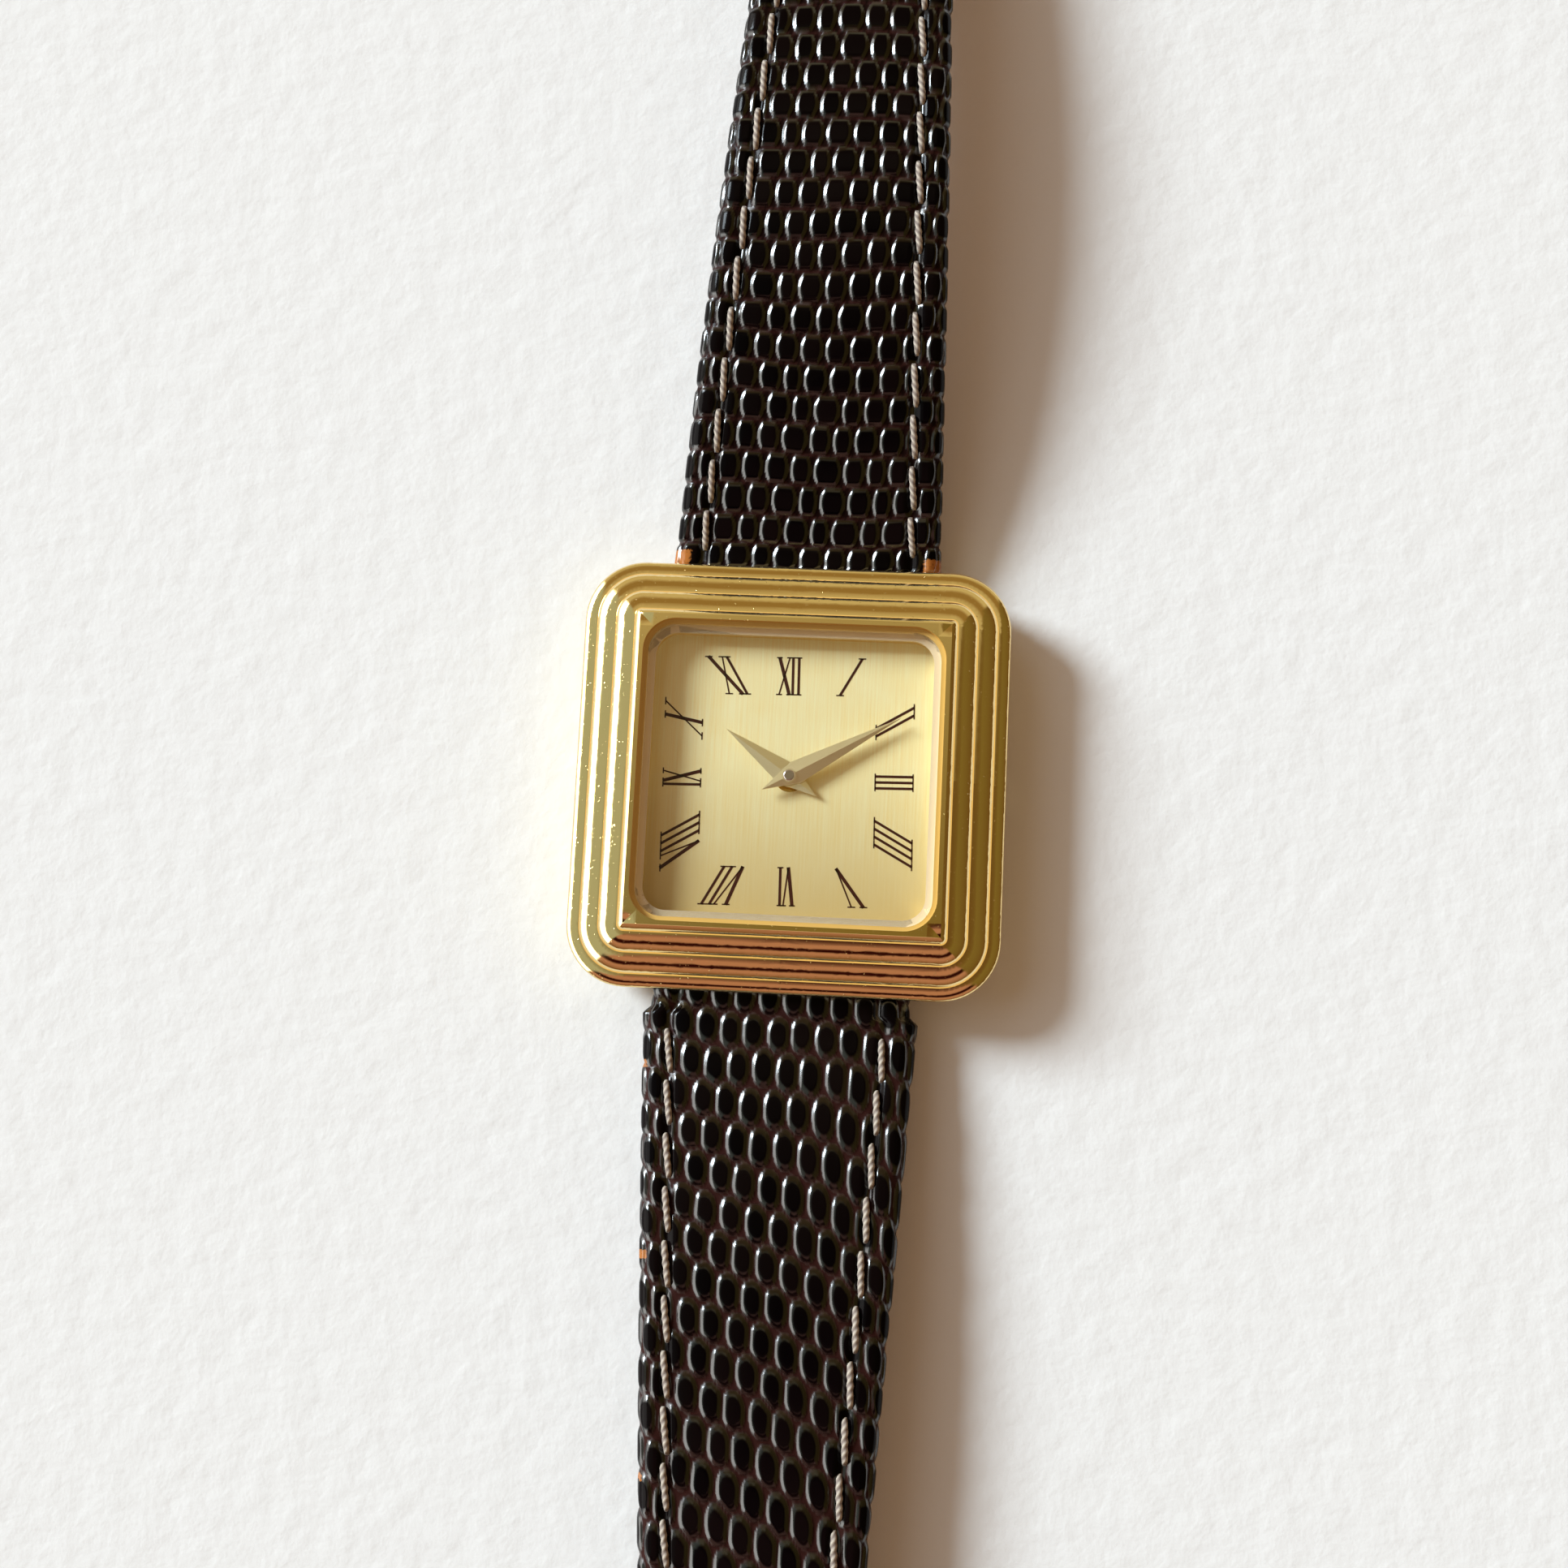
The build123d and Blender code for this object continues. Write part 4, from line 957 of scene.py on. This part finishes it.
class WATCH_OT_stage(bpy.types.Operator):
    """Lays the paper floor and sets the lamp, the room and the camera"""

    bl_idname = "watch.stage"
    bl_label = "Stage"

    def execute(self, context):
        settings = context.scene.watch_stage
        scene = context.scene
        clear_selection()
        bpy.ops.mesh.primitive_grid_add(
            x_subdivisions=4, y_subdivisions=4, size=1.6, location=(0, 0, -0.02 * MM)
        )
        bpy.ops.object.transform_apply(location=True, rotation=False, scale=False)
        floor = context.active_object
        floor.name = "paper_floor"
        floor.data.materials.append(paper_material(settings.floor))
        floor.select_set(False)

        bpy.ops.object.light_add(type="SUN")
        lamp = context.active_object
        lamp.name = "window_light"
        lamp.data.energy = settings.sun
        lamp.data.angle = math.radians(20.0)
        lamp.data.color = (0.79, 0.915, 1.0)
        flat = math.cos(settings.elevation)
        towards = Vector(
            (
                -flat * math.cos(settings.bearing),
                flat * math.sin(settings.bearing),
                math.sin(settings.elevation),
            ),
        )
        lamp.rotation_euler = towards.to_track_quat("Z", "Y").to_euler()
        lamp.select_set(False)

        bpy.ops.object.light_add(type="SUN")
        glow = context.active_object
        glow.name = "curtain_light"
        glow.data.energy = settings.sun * 0.2
        glow.data.angle = math.radians(70.0)
        glow.data.color = (0.79, 0.915, 1.0)
        glow.rotation_euler = lamp.rotation_euler
        glow.visible_glossy = False
        glow.select_set(False)

        self.room(scene, settings)
        self.camera(scene)
        scene.view_settings.view_transform = "Standard"
        return {"FINISHED"}

    def camera(self, scene):
        """The photograph's viewing angle, found by fitting the case's straight lines."""
        focal_pixels = 2290
        roll, tilt, swing = (math.radians(angle) for angle in (-2.820, -7.574, -2.983))
        turn = Matrix.Rotation(roll, 3, "Z") @ Matrix.Rotation(tilt, 3, "X") @ Matrix.Rotation(swing, 3, "Y")
        shift = Vector((0.553, -0.146, -120.462)) * MM
        data = bpy.data.cameras.new("photo_camera")
        data.sensor_width = 36.0
        data.lens = data.sensor_width * focal_pixels / PHOTO_SIDE
        data.clip_start = 0.005
        camera = bpy.data.objects.new("photo_camera", data)
        scene.collection.objects.link(camera)
        back = turn.transposed()
        camera.matrix_world = Matrix.Translation(-(back @ shift)) @ back.to_4x4()
        scene.camera = camera

    def room(self, scene, settings):
        """What metal and glazed leather see: a white window low on the left and dim warm walls elsewhere."""
        world = bpy.data.worlds.new("studio_room")
        world.use_nodes = True
        tree = world.node_tree
        tree.nodes.clear()
        direction = add_node(tree, "ShaderNodeTexCoord").outputs["Generated"]
        part = add_node(tree, "ShaderNodeSeparateXYZ", links={0: direction})

        def wall(levels):
            """One side of the room by the height of the direction, from the floor's level (0) to overhead (1)."""
            ramp = add_node(tree, "ShaderNodeValToRGB", links={0: part.outputs["Z"]})
            stops = []
            for level, surface in levels:
                colour, strength = SURFACES[surface]
                stops.append((level, [strength * channel for channel in linear(colour)[:3]]))
            set_ramp(ramp, stops)
            return ramp.outputs["Color"]

        def choose(below, above, value, low, high):
            share = add_node(
                tree, "ShaderNodeMapRange", {"From Min": low, "From Max": high}, {"Value": value}
            )
            return add_node(
                tree, "ShaderNodeMix", links={0: share.outputs[0], 6: below, 7: above}, data_type="RGBA"
            ).outputs[2]

        sides = {name: wall(levels) for name, levels in WALLS.items()}
        across = choose(sides["left"], sides["right"], part.outputs["X"], -0.02, 0.02)
        along = choose(sides["bottom"], sides["top"], part.outputs["Y"], -0.02, 0.02)
        size_x = add_node(tree, "ShaderNodeMath", links={0: part.outputs["X"]}, operation="ABSOLUTE")
        size_y = add_node(tree, "ShaderNodeMath", links={0: part.outputs["Y"]}, operation="ABSOLUTE")
        lean = add_node(
            tree, "ShaderNodeMath", links={0: size_y.outputs[0], 1: size_x.outputs[0]}, operation="SUBTRACT"
        )
        colour = choose(across, along, lean.outputs[0], -0.03, 0.03)

        path = add_node(tree, "ShaderNodeLightPath")
        again = add_node(
            tree,
            "ShaderNodeMapRange",
            {"From Min": 1.1, "From Max": 1.9},
            {"Value": path.outputs["Glossy Depth"]},
        )
        bounced = add_node(
            tree,
            "ShaderNodeMix",
            {7: (1.05, 1.0, 0.9, 1.0)},
            {0: again.outputs[0], 6: colour},
            data_type="RGBA",
        )
        spread = add_node(
            tree,
            "ShaderNodeMapRange",
            {"From Min": 0.1, "From Max": 0.9},
            {"Value": path.outputs["Diffuse Depth"]},
        )
        glossy = add_node(
            tree,
            "ShaderNodeMix",
            {7: (0.4, 0.38, 0.34, 1.0)},
            {0: spread.outputs[0], 6: bounced.outputs[2]},
            data_type="RGBA",
        )
        lit = add_node(
            tree,
            "ShaderNodeMix",
            {6: linear(settings.fill)},
            {0: path.outputs["Is Glossy Ray"], 7: glossy.outputs[2]},
            data_type="RGBA",
        )
        seen = add_node(
            tree,
            "ShaderNodeMix",
            {7: (0.9, 0.9, 0.89, 1.0)},
            {0: path.outputs["Is Camera Ray"], 6: lit.outputs[2]},
            data_type="RGBA",
        )
        background = add_node(tree, "ShaderNodeBackground", links={"Color": seen.outputs[2]})
        add_node(tree, "ShaderNodeOutputWorld", links={"Surface": background.outputs[0]})
        scene.world = world


# The plain surfaces round the watch that bright metal mirrors: sRGB colour and strength.
SURFACES = {
    "window": ("#fffffa", 4.0),
    "curtain": ("#b4bcac", 1.0),
    "cream_wall": ("#ccc098", 1.0),
    "tan_wall": ("#987e4c", 1.0),
    "brown_wall": ("#80703c", 1.0),
    "dim_wall": ("#6c5028", 1.0),
    "rose_wall": ("#b88878", 1.0),
    "dark_edge": ("#300c08", 1.0),
}
# Where they stand on each side, from the floor's level (0) to overhead (1).
WALLS = {
    "left": ((0.6, "window"), (0.65, "curtain"), (0.95, "curtain"), (1.0, "brown_wall")),
    "top": (
        (0.4, "cream_wall"), (0.65, "tan_wall"), (0.85, "tan_wall"), (0.95, "cream_wall"), (1.0, "brown_wall")
    ),
    "right": ((0.0, "dim_wall"), (0.9, "brown_wall"), (1.0, "dim_wall")),
    "bottom": (
        (0.0, "dim_wall"),
        (0.55, "rose_wall"),
        (0.65, "rose_wall"),
        (0.75, "dark_edge"),
        (0.85, "dark_edge"),
        (0.9, "rose_wall"),
        (0.97, "rose_wall"),
        (1.0, "dark_edge"),
    ),
}


class WATCH_OT_case(bpy.types.Operator):
    """Gives the case, its back, the crown and the buckle their gold plate and steel"""

    bl_idname = "watch.case"
    bl_label = "Case and metalwork"

    def execute(self, context):
        settings = context.scene.watch_case
        gold = gold_plate_material(settings.gold)
        dress(["stepped_case", "crown", "buckle_frame", "buckle_tongue", "buckle_bar", "dial_ring"], gold)
        dress(["case_back"], plain_metal_material("brushed_stainless_back", "#c9c7c2", 0.3, 0.06))
        dress(
            ["spring_bar_12", "spring_bar_6", "crown_tube", "stem"],
            plain_metal_material("turned_steel", "#b9b9b8", 0.25, 0.08),
        )
        dress(["back_gasket", "crown_seal"], plastic_material("black_rubber_seal", "#161616", 0.6))
        dress(["crystal_gasket"], gasket_material())
        dress(["crystal"], crystal_material())
        return {"FINISHED"}


class WATCH_OT_movement(bpy.types.Operator):
    """Finishes the parts of the quartz movement"""

    bl_idname = "watch.movement"
    bl_label = "Movement"

    def execute(self, context):
        plates = plain_metal_material("plated_brass_plate", "#c8ab6a", 0.35, 0.1)
        wheels = plain_metal_material("polished_brass_wheel", "#d9b45c", 0.22, 0.05)
        steel = plain_metal_material("blued_grey_steel", "#a8a9ab", 0.28, 0.05)
        dress(["main_plate", "train_bridge"], plates)
        dress(["cannon_pinion", "hour_wheel", "minute_wheel", "third_wheel", "step_wheel"], wheels)
        dress(["bridge_screws", "clamp_screw", "setting_lever", "sliding_pinion", "battery_clamp"], steel)
        dress(["centre_wheel"], plain_metal_material("polished_arbor_steel", "#c6b9be", 0.2, 0.05))
        dress(["rotor"], plastic_material("sintered_magnet", "#2d2d30", 0.5))
        dress(["stator", "coil_core"], plain_metal_material("annealed_soft_iron", "#8d8e90", 0.4, 0.08))
        dress(["coil_winding"], plain_metal_material("enamelled_copper_wire", "#c0673a", 0.35, 0.07))
        dress(["circuit_board"], plastic_material("green_laminate", "#1d4a2c", 0.45))
        dress(["circuit_chip"], plastic_material("black_chip_cover", "#0e0e0f", 0.4))
        dress(["quartz_can"], plain_metal_material("plated_can", "#c4c5c8", 0.15, 0.05))
        dress(["battery"], plain_metal_material("nickel_plated_cell", "#c9c8c4", 0.2, 0.1))
        dress(["movement_holder"], plastic_material("grey_acetal_holder", "#4b4c4e", 0.55))
        return {"FINISHED"}


NUMERALS = ("I", "II", "III", "IIII", "V", "VI", "VII", "VIII", "IX", "X", "XI", "XII")
# Printed letters, in millimetres: the numerals stand between two squares round the dial, feet inwards.
NUMERAL_HEAD = 7.82
NUMERAL_FOOT = 5.46
THICK_STROKE = 0.21
STEM = 0.16
THIN_STROKE = 0.09
BAR_THICK = 0.08
BAR_HALF = 0.17
INK_THICK, INK_LIFT = 0.012, 0.002
# The print sits a little low and left on the dial, and a little turned.
PRINT_CENTRE = (-0.12, -0.23)
PRINT_TURN = 1.3
# Each letter's room in the row, its strokes (place at head, place at foot, width), and if its feet have bars.
LETTERS = {
    "I": (0.37, ((0.0, 0.0, STEM),), True),
    "V": (0.62, ((-0.28, 0.0, THICK_STROKE), (0.28, 0.0, THIN_STROKE)), False),
    "X": (0.70, ((-0.32, 0.32, THICK_STROKE), (0.32, -0.32, THIN_STROKE)), True),
}


def numeral_strokes(hour, word):
    """Each stroke of a numeral centred on its hour's line: both ends and the width."""
    side = round(hour / 3)
    lean = math.tan(math.radians(30 * (hour - 3 * side)))
    widened = 1 + lean**2
    turned = Matrix.Rotation(math.radians(PRINT_TURN - 90 * side), 2)

    def place(sideways, out):
        return turned @ Vector((sideways * widened + out * lean, out)) + Vector(PRINT_CENTRE)

    def bar(middle, out):
        return place(middle - BAR_HALF, out), place(middle + BAR_HALF, out), BAR_THICK

    strokes = []
    row = -sum(LETTERS[letter][0] for letter in word) / 2
    for letter in word:
        room, lines, footed = LETTERS[letter]
        middle = row + room / 2
        for head, foot, width in lines:
            strokes.append((place(middle + head, NUMERAL_HEAD), place(middle + foot, NUMERAL_FOOT), width))
            strokes.append(bar(middle + head, NUMERAL_HEAD))
            if footed:
                strokes.append(bar(middle + foot, NUMERAL_FOOT))
        row += room
    return strokes


class WATCH_OT_dial(bpy.types.Operator):
    """Brushes the dial, prints its numerals and finishes the hands"""

    bl_idname = "watch.dial"
    bl_label = "Dial and hands"

    def execute(self, context):
        settings = context.scene.watch_case
        dress(["dial"], dial_material(settings.dial, settings.dial_shade))
        dress(
            ["hour_hand", "minute_hand"], plain_metal_material("satin_hand_metal", settings.hands, 0.33, 0.05)
        )
        clear_selection()
        strokes = []
        for hour, word in enumerate(NUMERALS, 1):
            for start, end, width in numeral_strokes(hour, word):
                run = end - start
                middle = (start + end) / 2
                bpy.ops.mesh.primitive_cube_add(
                    size=1,
                    location=(middle.x * MM, middle.y * MM, (DIAL_TOP + INK_THICK / 2 + INK_LIFT) * MM),
                    rotation=(0, 0, math.atan2(run.y, run.x)),
                    scale=((run.length + width * 0.3) * MM, width * MM, INK_THICK * MM),
                )
                strokes.append(context.active_object)
        clear_selection()
        for stroke in strokes:
            stroke.select_set(True)
        context.view_layer.objects.active = strokes[0]
        bpy.ops.object.join()
        bpy.ops.object.transform_apply()
        settle(context.active_object, "printed_numerals", ink_material(), "case")
        return {"FINISHED"}


class WATCH_OT_straps(bpy.types.Operator):
    """Makes both strap halves: lizard tops, calf linings, bar loops and keepers"""

    bl_idname = "watch.straps"
    bl_label = "Strap halves"

    def execute(self, context):
        settings = context.scene.watch_strap
        lizard = lizard_material(settings)
        lining = lining_material()
        upper_end = UPPER.run.length - UPPER_END_GAP
        upper = strap_top(
            UPPER,
            TOP_START,
            upper_end,
            {
                "step_across": settings.steps[0],
                "step_along": settings.steps[1],
                "scales": lambda across, along: brick_scales(across, along, *settings.upper_pitch, 11),
                "stitch_inside": UPPER_ROWS,
                "worn": ((2.5, -1, 1.0), (2.4, 1, 1.0)),
            },
        )
        cut_slot(upper)
        smooth_shading(upper, 80)
        settle(upper, "lizard_upper_top", lizard, "strap_12", ["strap_12_top"])
        lower = strap_top(
            LOWER,
            TOP_START,
            LOWER.run.length - LOWER_END_GAP,
            {
                "step_across": settings.steps[0] * 1.04,
                "step_along": settings.steps[1] * 1.1,
                "scales": lambda across, along: oval_scales(
                    across, along, *settings.lower_pitch, -0.12 - 0.26 * smooth(4.0, 20.0, along), 0.62, 29
                ),
                "stitch_inside": LOWER_ROWS,
                "worn": ((6.6, -1, 0.32), (18.1, -1, 0.4), (31.0, -1, 0.3)),
            },
            tip=True,
        )
        cut_holes(lower)
        smooth_shading(lower, 80)
        settle(lower, "lizard_lower_top", lizard, "strap_6", ["strap_6_top"])

        for half, name, body, end in (
            (UPPER, "calf_lining_upper", "strap_12", upper_end),
            (LOWER, "calf_lining_lower", "strap_6", LOWER.run.length - 0.1),
        ):
            piece = lining_layer(half, LINING_START, end, name)
            if half is UPPER:
                cut_slot(piece)
            else:
                cut_holes(piece)
            smooth_shading(piece, 50)
            node = "strap_12_lining" if half is UPPER else "strap_6_lining"
            settle(piece, name, lining, body, [node])

        neck = [(-NECK_HALF, NECK_HALF)]
        beside_tongue = [(DRIFT - END_HALF, DRIFT - SLOT_HALF), (DRIFT + SLOT_HALF, DRIFT + END_HALF)]
        spring_bar = (BAR_Y, BAR_Z, 0.0)
        buckle_bar = (BUCKLE_Y, BUCKLE_Z, -BUCKLE_FALL)
        for name, centre, outward, radius, bore, reach, spans, body in (
            ("bar_loop_upper", spring_bar, (1, 1), 1.15, 0.70, 0.86, neck, "strap_12"),
            ("bar_loop_lower", spring_bar, (-1, 1), 1.15, 0.70, 0.86, neck, "strap_6"),
            ("buckle_loop", buckle_bar, (1, -1), 0.95, 0.60, 0.78, beside_tongue, "strap_12"),
        ):
            piece = bar_loop(name, centre, outward, radius, bore, reach, spans)
            for layer in ("groove", "tone", "wear"):
                add_attribute(piece.data, layer, np.zeros(len(piece.data.vertices)))
            smooth_shading(piece, 40)
            settle(piece, name, lizard, body)

        for name, distance, body, node in (
            ("lizard_keeper_fixed", FIXED_KEEPER_FROM_BAR, "strap_12", "fixed_keeper"),
            ("lizard_keeper_free", FREE_KEEPER_FROM_BAR, "free_keeper", "free_keeper"),
        ):
            piece = keeper_ring(name, distance)
            smooth_shading(piece, 60)
            settle(piece, name, lizard, body, [node])
        return {"FINISHED"}


def apply_cut(thing, cutter):
    """Subtracts a cutter and applies it."""
    clear_selection()
    thing.select_set(True)
    bpy.context.view_layer.objects.active = thing
    cut = thing.modifiers.new("cut", "BOOLEAN")
    cut.operation = "DIFFERENCE"
    cut.solver = "EXACT"
    cut.object = cutter
    bpy.ops.object.modifier_apply(modifier=cut.name)
    bpy.data.objects.remove(cutter)
    thing.select_set(False)


def cut_slot(thing):
    """Opens the end of the upper half for the buckle's tongue."""
    clear_selection()
    bpy.ops.mesh.primitive_cube_add(
        size=1,
        location=(DRIFT * MM, (BUCKLE_Y - 0.8) * MM, BUCKLE_Z * MM),
        scale=(2 * SLOT_HALF * MM, 4 * MM, 8 * MM),
    )
    cutter = bpy.context.active_object
    bpy.ops.object.transform_apply()
    apply_cut(thing, cutter)


def cut_holes(thing):
    """Punches the buckle holes in a row from the tip."""
    clear_selection()
    tip_y = LOWER.run.at(LOWER.run.length)[0]
    made = []
    for index in range(HOLE_COUNT):
        y = tip_y - FIRST_HOLE_FROM_TIP - index * HOLE_PITCH
        bpy.ops.mesh.primitive_cylinder_add(
            vertices=28, radius=HOLE_RADIUS * MM, depth=12 * MM, location=(0, -y * MM, 2 * MM)
        )
        made.append(bpy.context.active_object)
    clear_selection()
    for thing_made in made:
        thing_made.select_set(True)
    bpy.context.view_layer.objects.active = made[0]
    bpy.ops.object.join()
    bpy.ops.object.transform_apply()
    apply_cut(thing, bpy.context.active_object)


def keeper_ring(name, distance):
    """A scaled leather band round the strap, softly crowned, with room for the other half's end."""
    half_x = END_HALF + 0.2
    half_strap = UPPER.end_thick / 2
    low, high = -half_strap - 0.1, half_strap + 2.0
    wall, width, corner, inner_corner = KEEPER_WALL, KEEPER_WIDTH, KEEPER_CORNER, 0.08
    loop = []
    for index, (cx, cz) in enumerate(((half_x, high), (-half_x, high), (-half_x, low), (half_x, low))):
        sx, sz = math.copysign(1, cx), 1 if cz == high else -1
        for step in range(9):
            turn = math.radians(90 * (index + step / 8))
            c, s = math.cos(turn), math.sin(turn)
            inner = (cx + inner_corner * (c - sx), cz + inner_corner * (s - sz))
            outer = (cx + sx * (wall - corner) + corner * c, cz + sz * (wall - corner) + corner * s)
            loop.append((inner, outer))
    dense = []
    spacing = 0.16
    for (i0, o0), (i1, o1) in zip(loop, loop[1:] + loop[:1]):
        gap = max(math.dist(o0, o1), 1e-6)
        steps = max(1, int(gap / spacing))
        for step in range(steps):
            share = step / steps
            dense.append(
                (
                    (i0[0] + (i1[0] - i0[0]) * share, i0[1] + (i1[1] - i0[1]) * share),
                    (o0[0] + (o1[0] - o0[0]) * share, o0[1] + (o1[1] - o0[1]) * share),
                )
            )
    outer = np.array([d[1] for d in dense])
    inner = np.array([d[0] for d in dense])
    after = np.roll(outer, -1, 0) - np.roll(outer, 1, 0)
    normal = np.stack([after[:, 1], -after[:, 0]], -1)
    normal /= np.linalg.norm(normal, axis=1)[:, None]
    around = np.concatenate([[0], np.cumsum(np.linalg.norm(np.diff(outer, axis=0), axis=1))])
    columns = int(width / spacing)
    place = np.linspace(-width / 2, width / 2, columns + 1)
    grid_along, grid_across = np.meshgrid(around, place, indexing="ij")
    gap, middle, tone, _ = oval_scales(grid_across, grid_along, 1.25, 1.5, 0.0, 1.0, 5)
    edge = np.clip((width / 2 - np.abs(grid_across)) / 0.5, 0, 1)
    crown = 0.35 * (1 - np.sqrt(np.clip(1 - (1 - edge) ** 2, 0, 1)))
    out = 0.8 * scale_relief(gap, middle, tone) * smooth(0, 0.6, edge) - 0.17 - crown
    normal = np.where(np.sum(normal * (outer - outer.mean(0)), 1)[:, None] < 0, -normal, normal)
    outer_points = outer[:, None, :] + normal[:, None, :] * out[..., None]
    rows = len(outer)
    centre_along = distance + width / 2

    def world(x, up, along_offset):
        back = centre_along - along_offset
        y = BUCKLE_Y - back * math.cos(BUCKLE_FALL) + up * math.sin(BUCKLE_FALL)
        z = BUCKLE_Z + back * math.sin(BUCKLE_FALL) + up * math.cos(BUCKLE_FALL)
        return np.stack([(x + DRIFT) * MM, y * MM, z * MM], -1)

    outside = world(outer_points[..., 0], outer_points[..., 1], grid_across)
    inside = world(
        np.repeat(inner[:, 0:1], 2, 1),
        np.repeat(inner[:, 1:2], 2, 1),
        np.tile([-width / 2, width / 2], (rows, 1)),
    )
    points = np.concatenate([outside.reshape(-1, 3), inside.reshape(-1, 3)])
    stride = columns + 1
    base = rows * stride
    faces = []
    for row in range(rows):
        nxt = (row + 1) % rows
        for column in range(columns):
            faces.append(
                (
                    row * stride + column,
                    row * stride + column + 1,
                    nxt * stride + column + 1,
                    nxt * stride + column,
                ),
            )
        faces.append((row * stride, nxt * stride, base + nxt * 2, base + row * 2))
        faces.append((row * stride + columns, nxt * stride + columns, base + nxt * 2 + 1, base + row * 2 + 1))
        faces.append((base + row * 2, base + row * 2 + 1, base + nxt * 2 + 1, base + nxt * 2))
    thing = mesh_piece(name, points, faces)
    pad = np.zeros(rows * 2)
    add_attribute(thing.data, "groove", np.concatenate([0.6 * (1 - smooth(0.0, 0.12, gap)).ravel(), pad]))
    add_attribute(thing.data, "shoulder", np.concatenate([shoulder_shine(gap).ravel(), pad]))
    add_attribute(thing.data, "tone", np.concatenate([tone.ravel(), pad]))
    add_attribute(thing.data, "wear", np.concatenate([np.zeros(tone.size), pad]))
    return thing


class WATCH_OT_stitching(bpy.types.Operator):
    """Sews both strap halves along their edges with twisted linen thread"""

    bl_idname = "watch.stitching"
    bl_label = "Stitching"

    def execute(self, context):
        settings = context.scene.watch_stitch
        thread = thread_material(settings.thread, settings.thread_shade)
        self.sew(
            settings,
            thread,
            UPPER,
            "linen_stitches_upper",
            "strap_12",
            3.0,
            UPPER.run.length - 15.5,
            UPPER_ROWS,
            -0.12,
        )
        self.sew(
            settings,
            thread,
            LOWER,
            "linen_stitches_lower",
            "strap_6",
            4.2,
            LOWER.run.length - 7.0,
            LOWER_ROWS,
            0.14,
        )
        return {"FINISHED"}

    def sew(self, settings, thread, half, name, body, start, end, inside, slant):
        """Both rows of one half from start to end; slant is how far a stitch leans over half its length."""
        sides, rings = 8, 11
        ply_depth, ply_turns = 0.16, 9.0
        points, faces, twist = [], [], []
        for edge_sign, inward in zip((-1, 1), inside):
            count = int((end - start) / settings.pitch)
            for index in range(count):
                middle = start + (index + 0.5) * settings.pitch
                first = len(points)
                for ring in range(rings):
                    share = ring / (rings - 1) * 2 - 1
                    along = middle + share * settings.shown / 2
                    half_width, centre = half.plan(np.array([along]))
                    thick = half.half_thick(np.array([along]))[0]
                    across = edge_sign * (half_width[0] - inward) + slant * share
                    lift = thick - 0.02 - 0.30 * share**6
                    taper = settings.radius * (1 - 0.25 * share**8)
                    for side in range(sides):
                        turn = 2 * math.pi * side / sides
                        ply = 1 + ply_depth * math.cos(2 * (turn - share * ply_turns))
                        x = centre[0] + across + taper * ply * math.cos(turn)
                        offset = lift + taper * ply * math.sin(turn)
                        points.append(half.place(np.array([along]), np.array([x]), np.array([offset]))[0])
                        twist.append(2 * (turn - share * ply_turns))
                for ring in range(rings - 1):
                    for side in range(sides):
                        after = (side + 1) % sides
                        a = first + ring * sides
                        faces.append((a + side, a + after, a + sides + after, a + sides + side))
                faces.append(tuple(first + s for s in range(sides)))
                faces.append(tuple(first + (rings - 1) * sides + s for s in range(sides)))
        piece = mesh_piece(name, points, faces)
        add_attribute(piece.data, "twist", twist)
        smooth_shading(piece, 60)
        settle(piece, name, thread, body)


class WATCH_PT_panel(bpy.types.Panel):
    """Lists the watch's pieces and settings"""

    bl_label = "Watch"
    bl_idname = "WATCH_PT_panel"
    bl_space_type = "VIEW_3D"
    bl_region_type = "UI"
    bl_category = "Watch"

    def draw(self, context):
        layout = self.layout
        for operator in OPERATORS:
            layout.operator(operator.bl_idname)
        for group in (
            context.scene.watch_strap,
            context.scene.watch_stitch,
            context.scene.watch_case,
            context.scene.watch_stage,
        ):
            box = layout.box()
            for key in group.__annotations__:
                box.prop(group, key)


OPERATORS = (
    WATCH_OT_stage, WATCH_OT_case, WATCH_OT_movement, WATCH_OT_dial, WATCH_OT_straps, WATCH_OT_stitching
)
GROUPS = {
    "watch_strap": WATCH_PG_strap,
    "watch_stitch": WATCH_PG_stitch,
    "watch_case": WATCH_PG_case,
    "watch_stage": WATCH_PG_stage,
}


def register():
    for group in GROUPS.values():
        bpy.utils.register_class(group)
    for name, group in GROUPS.items():
        setattr(bpy.types.Scene, name, bpy.props.PointerProperty(type=group))
    for operator in OPERATORS:
        bpy.utils.register_class(operator)
    bpy.utils.register_class(WATCH_PT_panel)


def unregister():
    bpy.utils.unregister_class(WATCH_PT_panel)
    for operator in reversed(OPERATORS):
        bpy.utils.unregister_class(operator)
    for name in GROUPS:
        delattr(bpy.types.Scene, name)
    for group in GROUPS.values():
        bpy.utils.unregister_class(group)


def main():
    register()
    clear_selection()
    bpy.ops.watch.stage()
    bpy.ops.watch.case()
    bpy.ops.watch.movement()
    bpy.ops.watch.dial()
    bpy.ops.watch.straps()
    bpy.ops.watch.stitching()


if __name__ == "__main__":
    main()
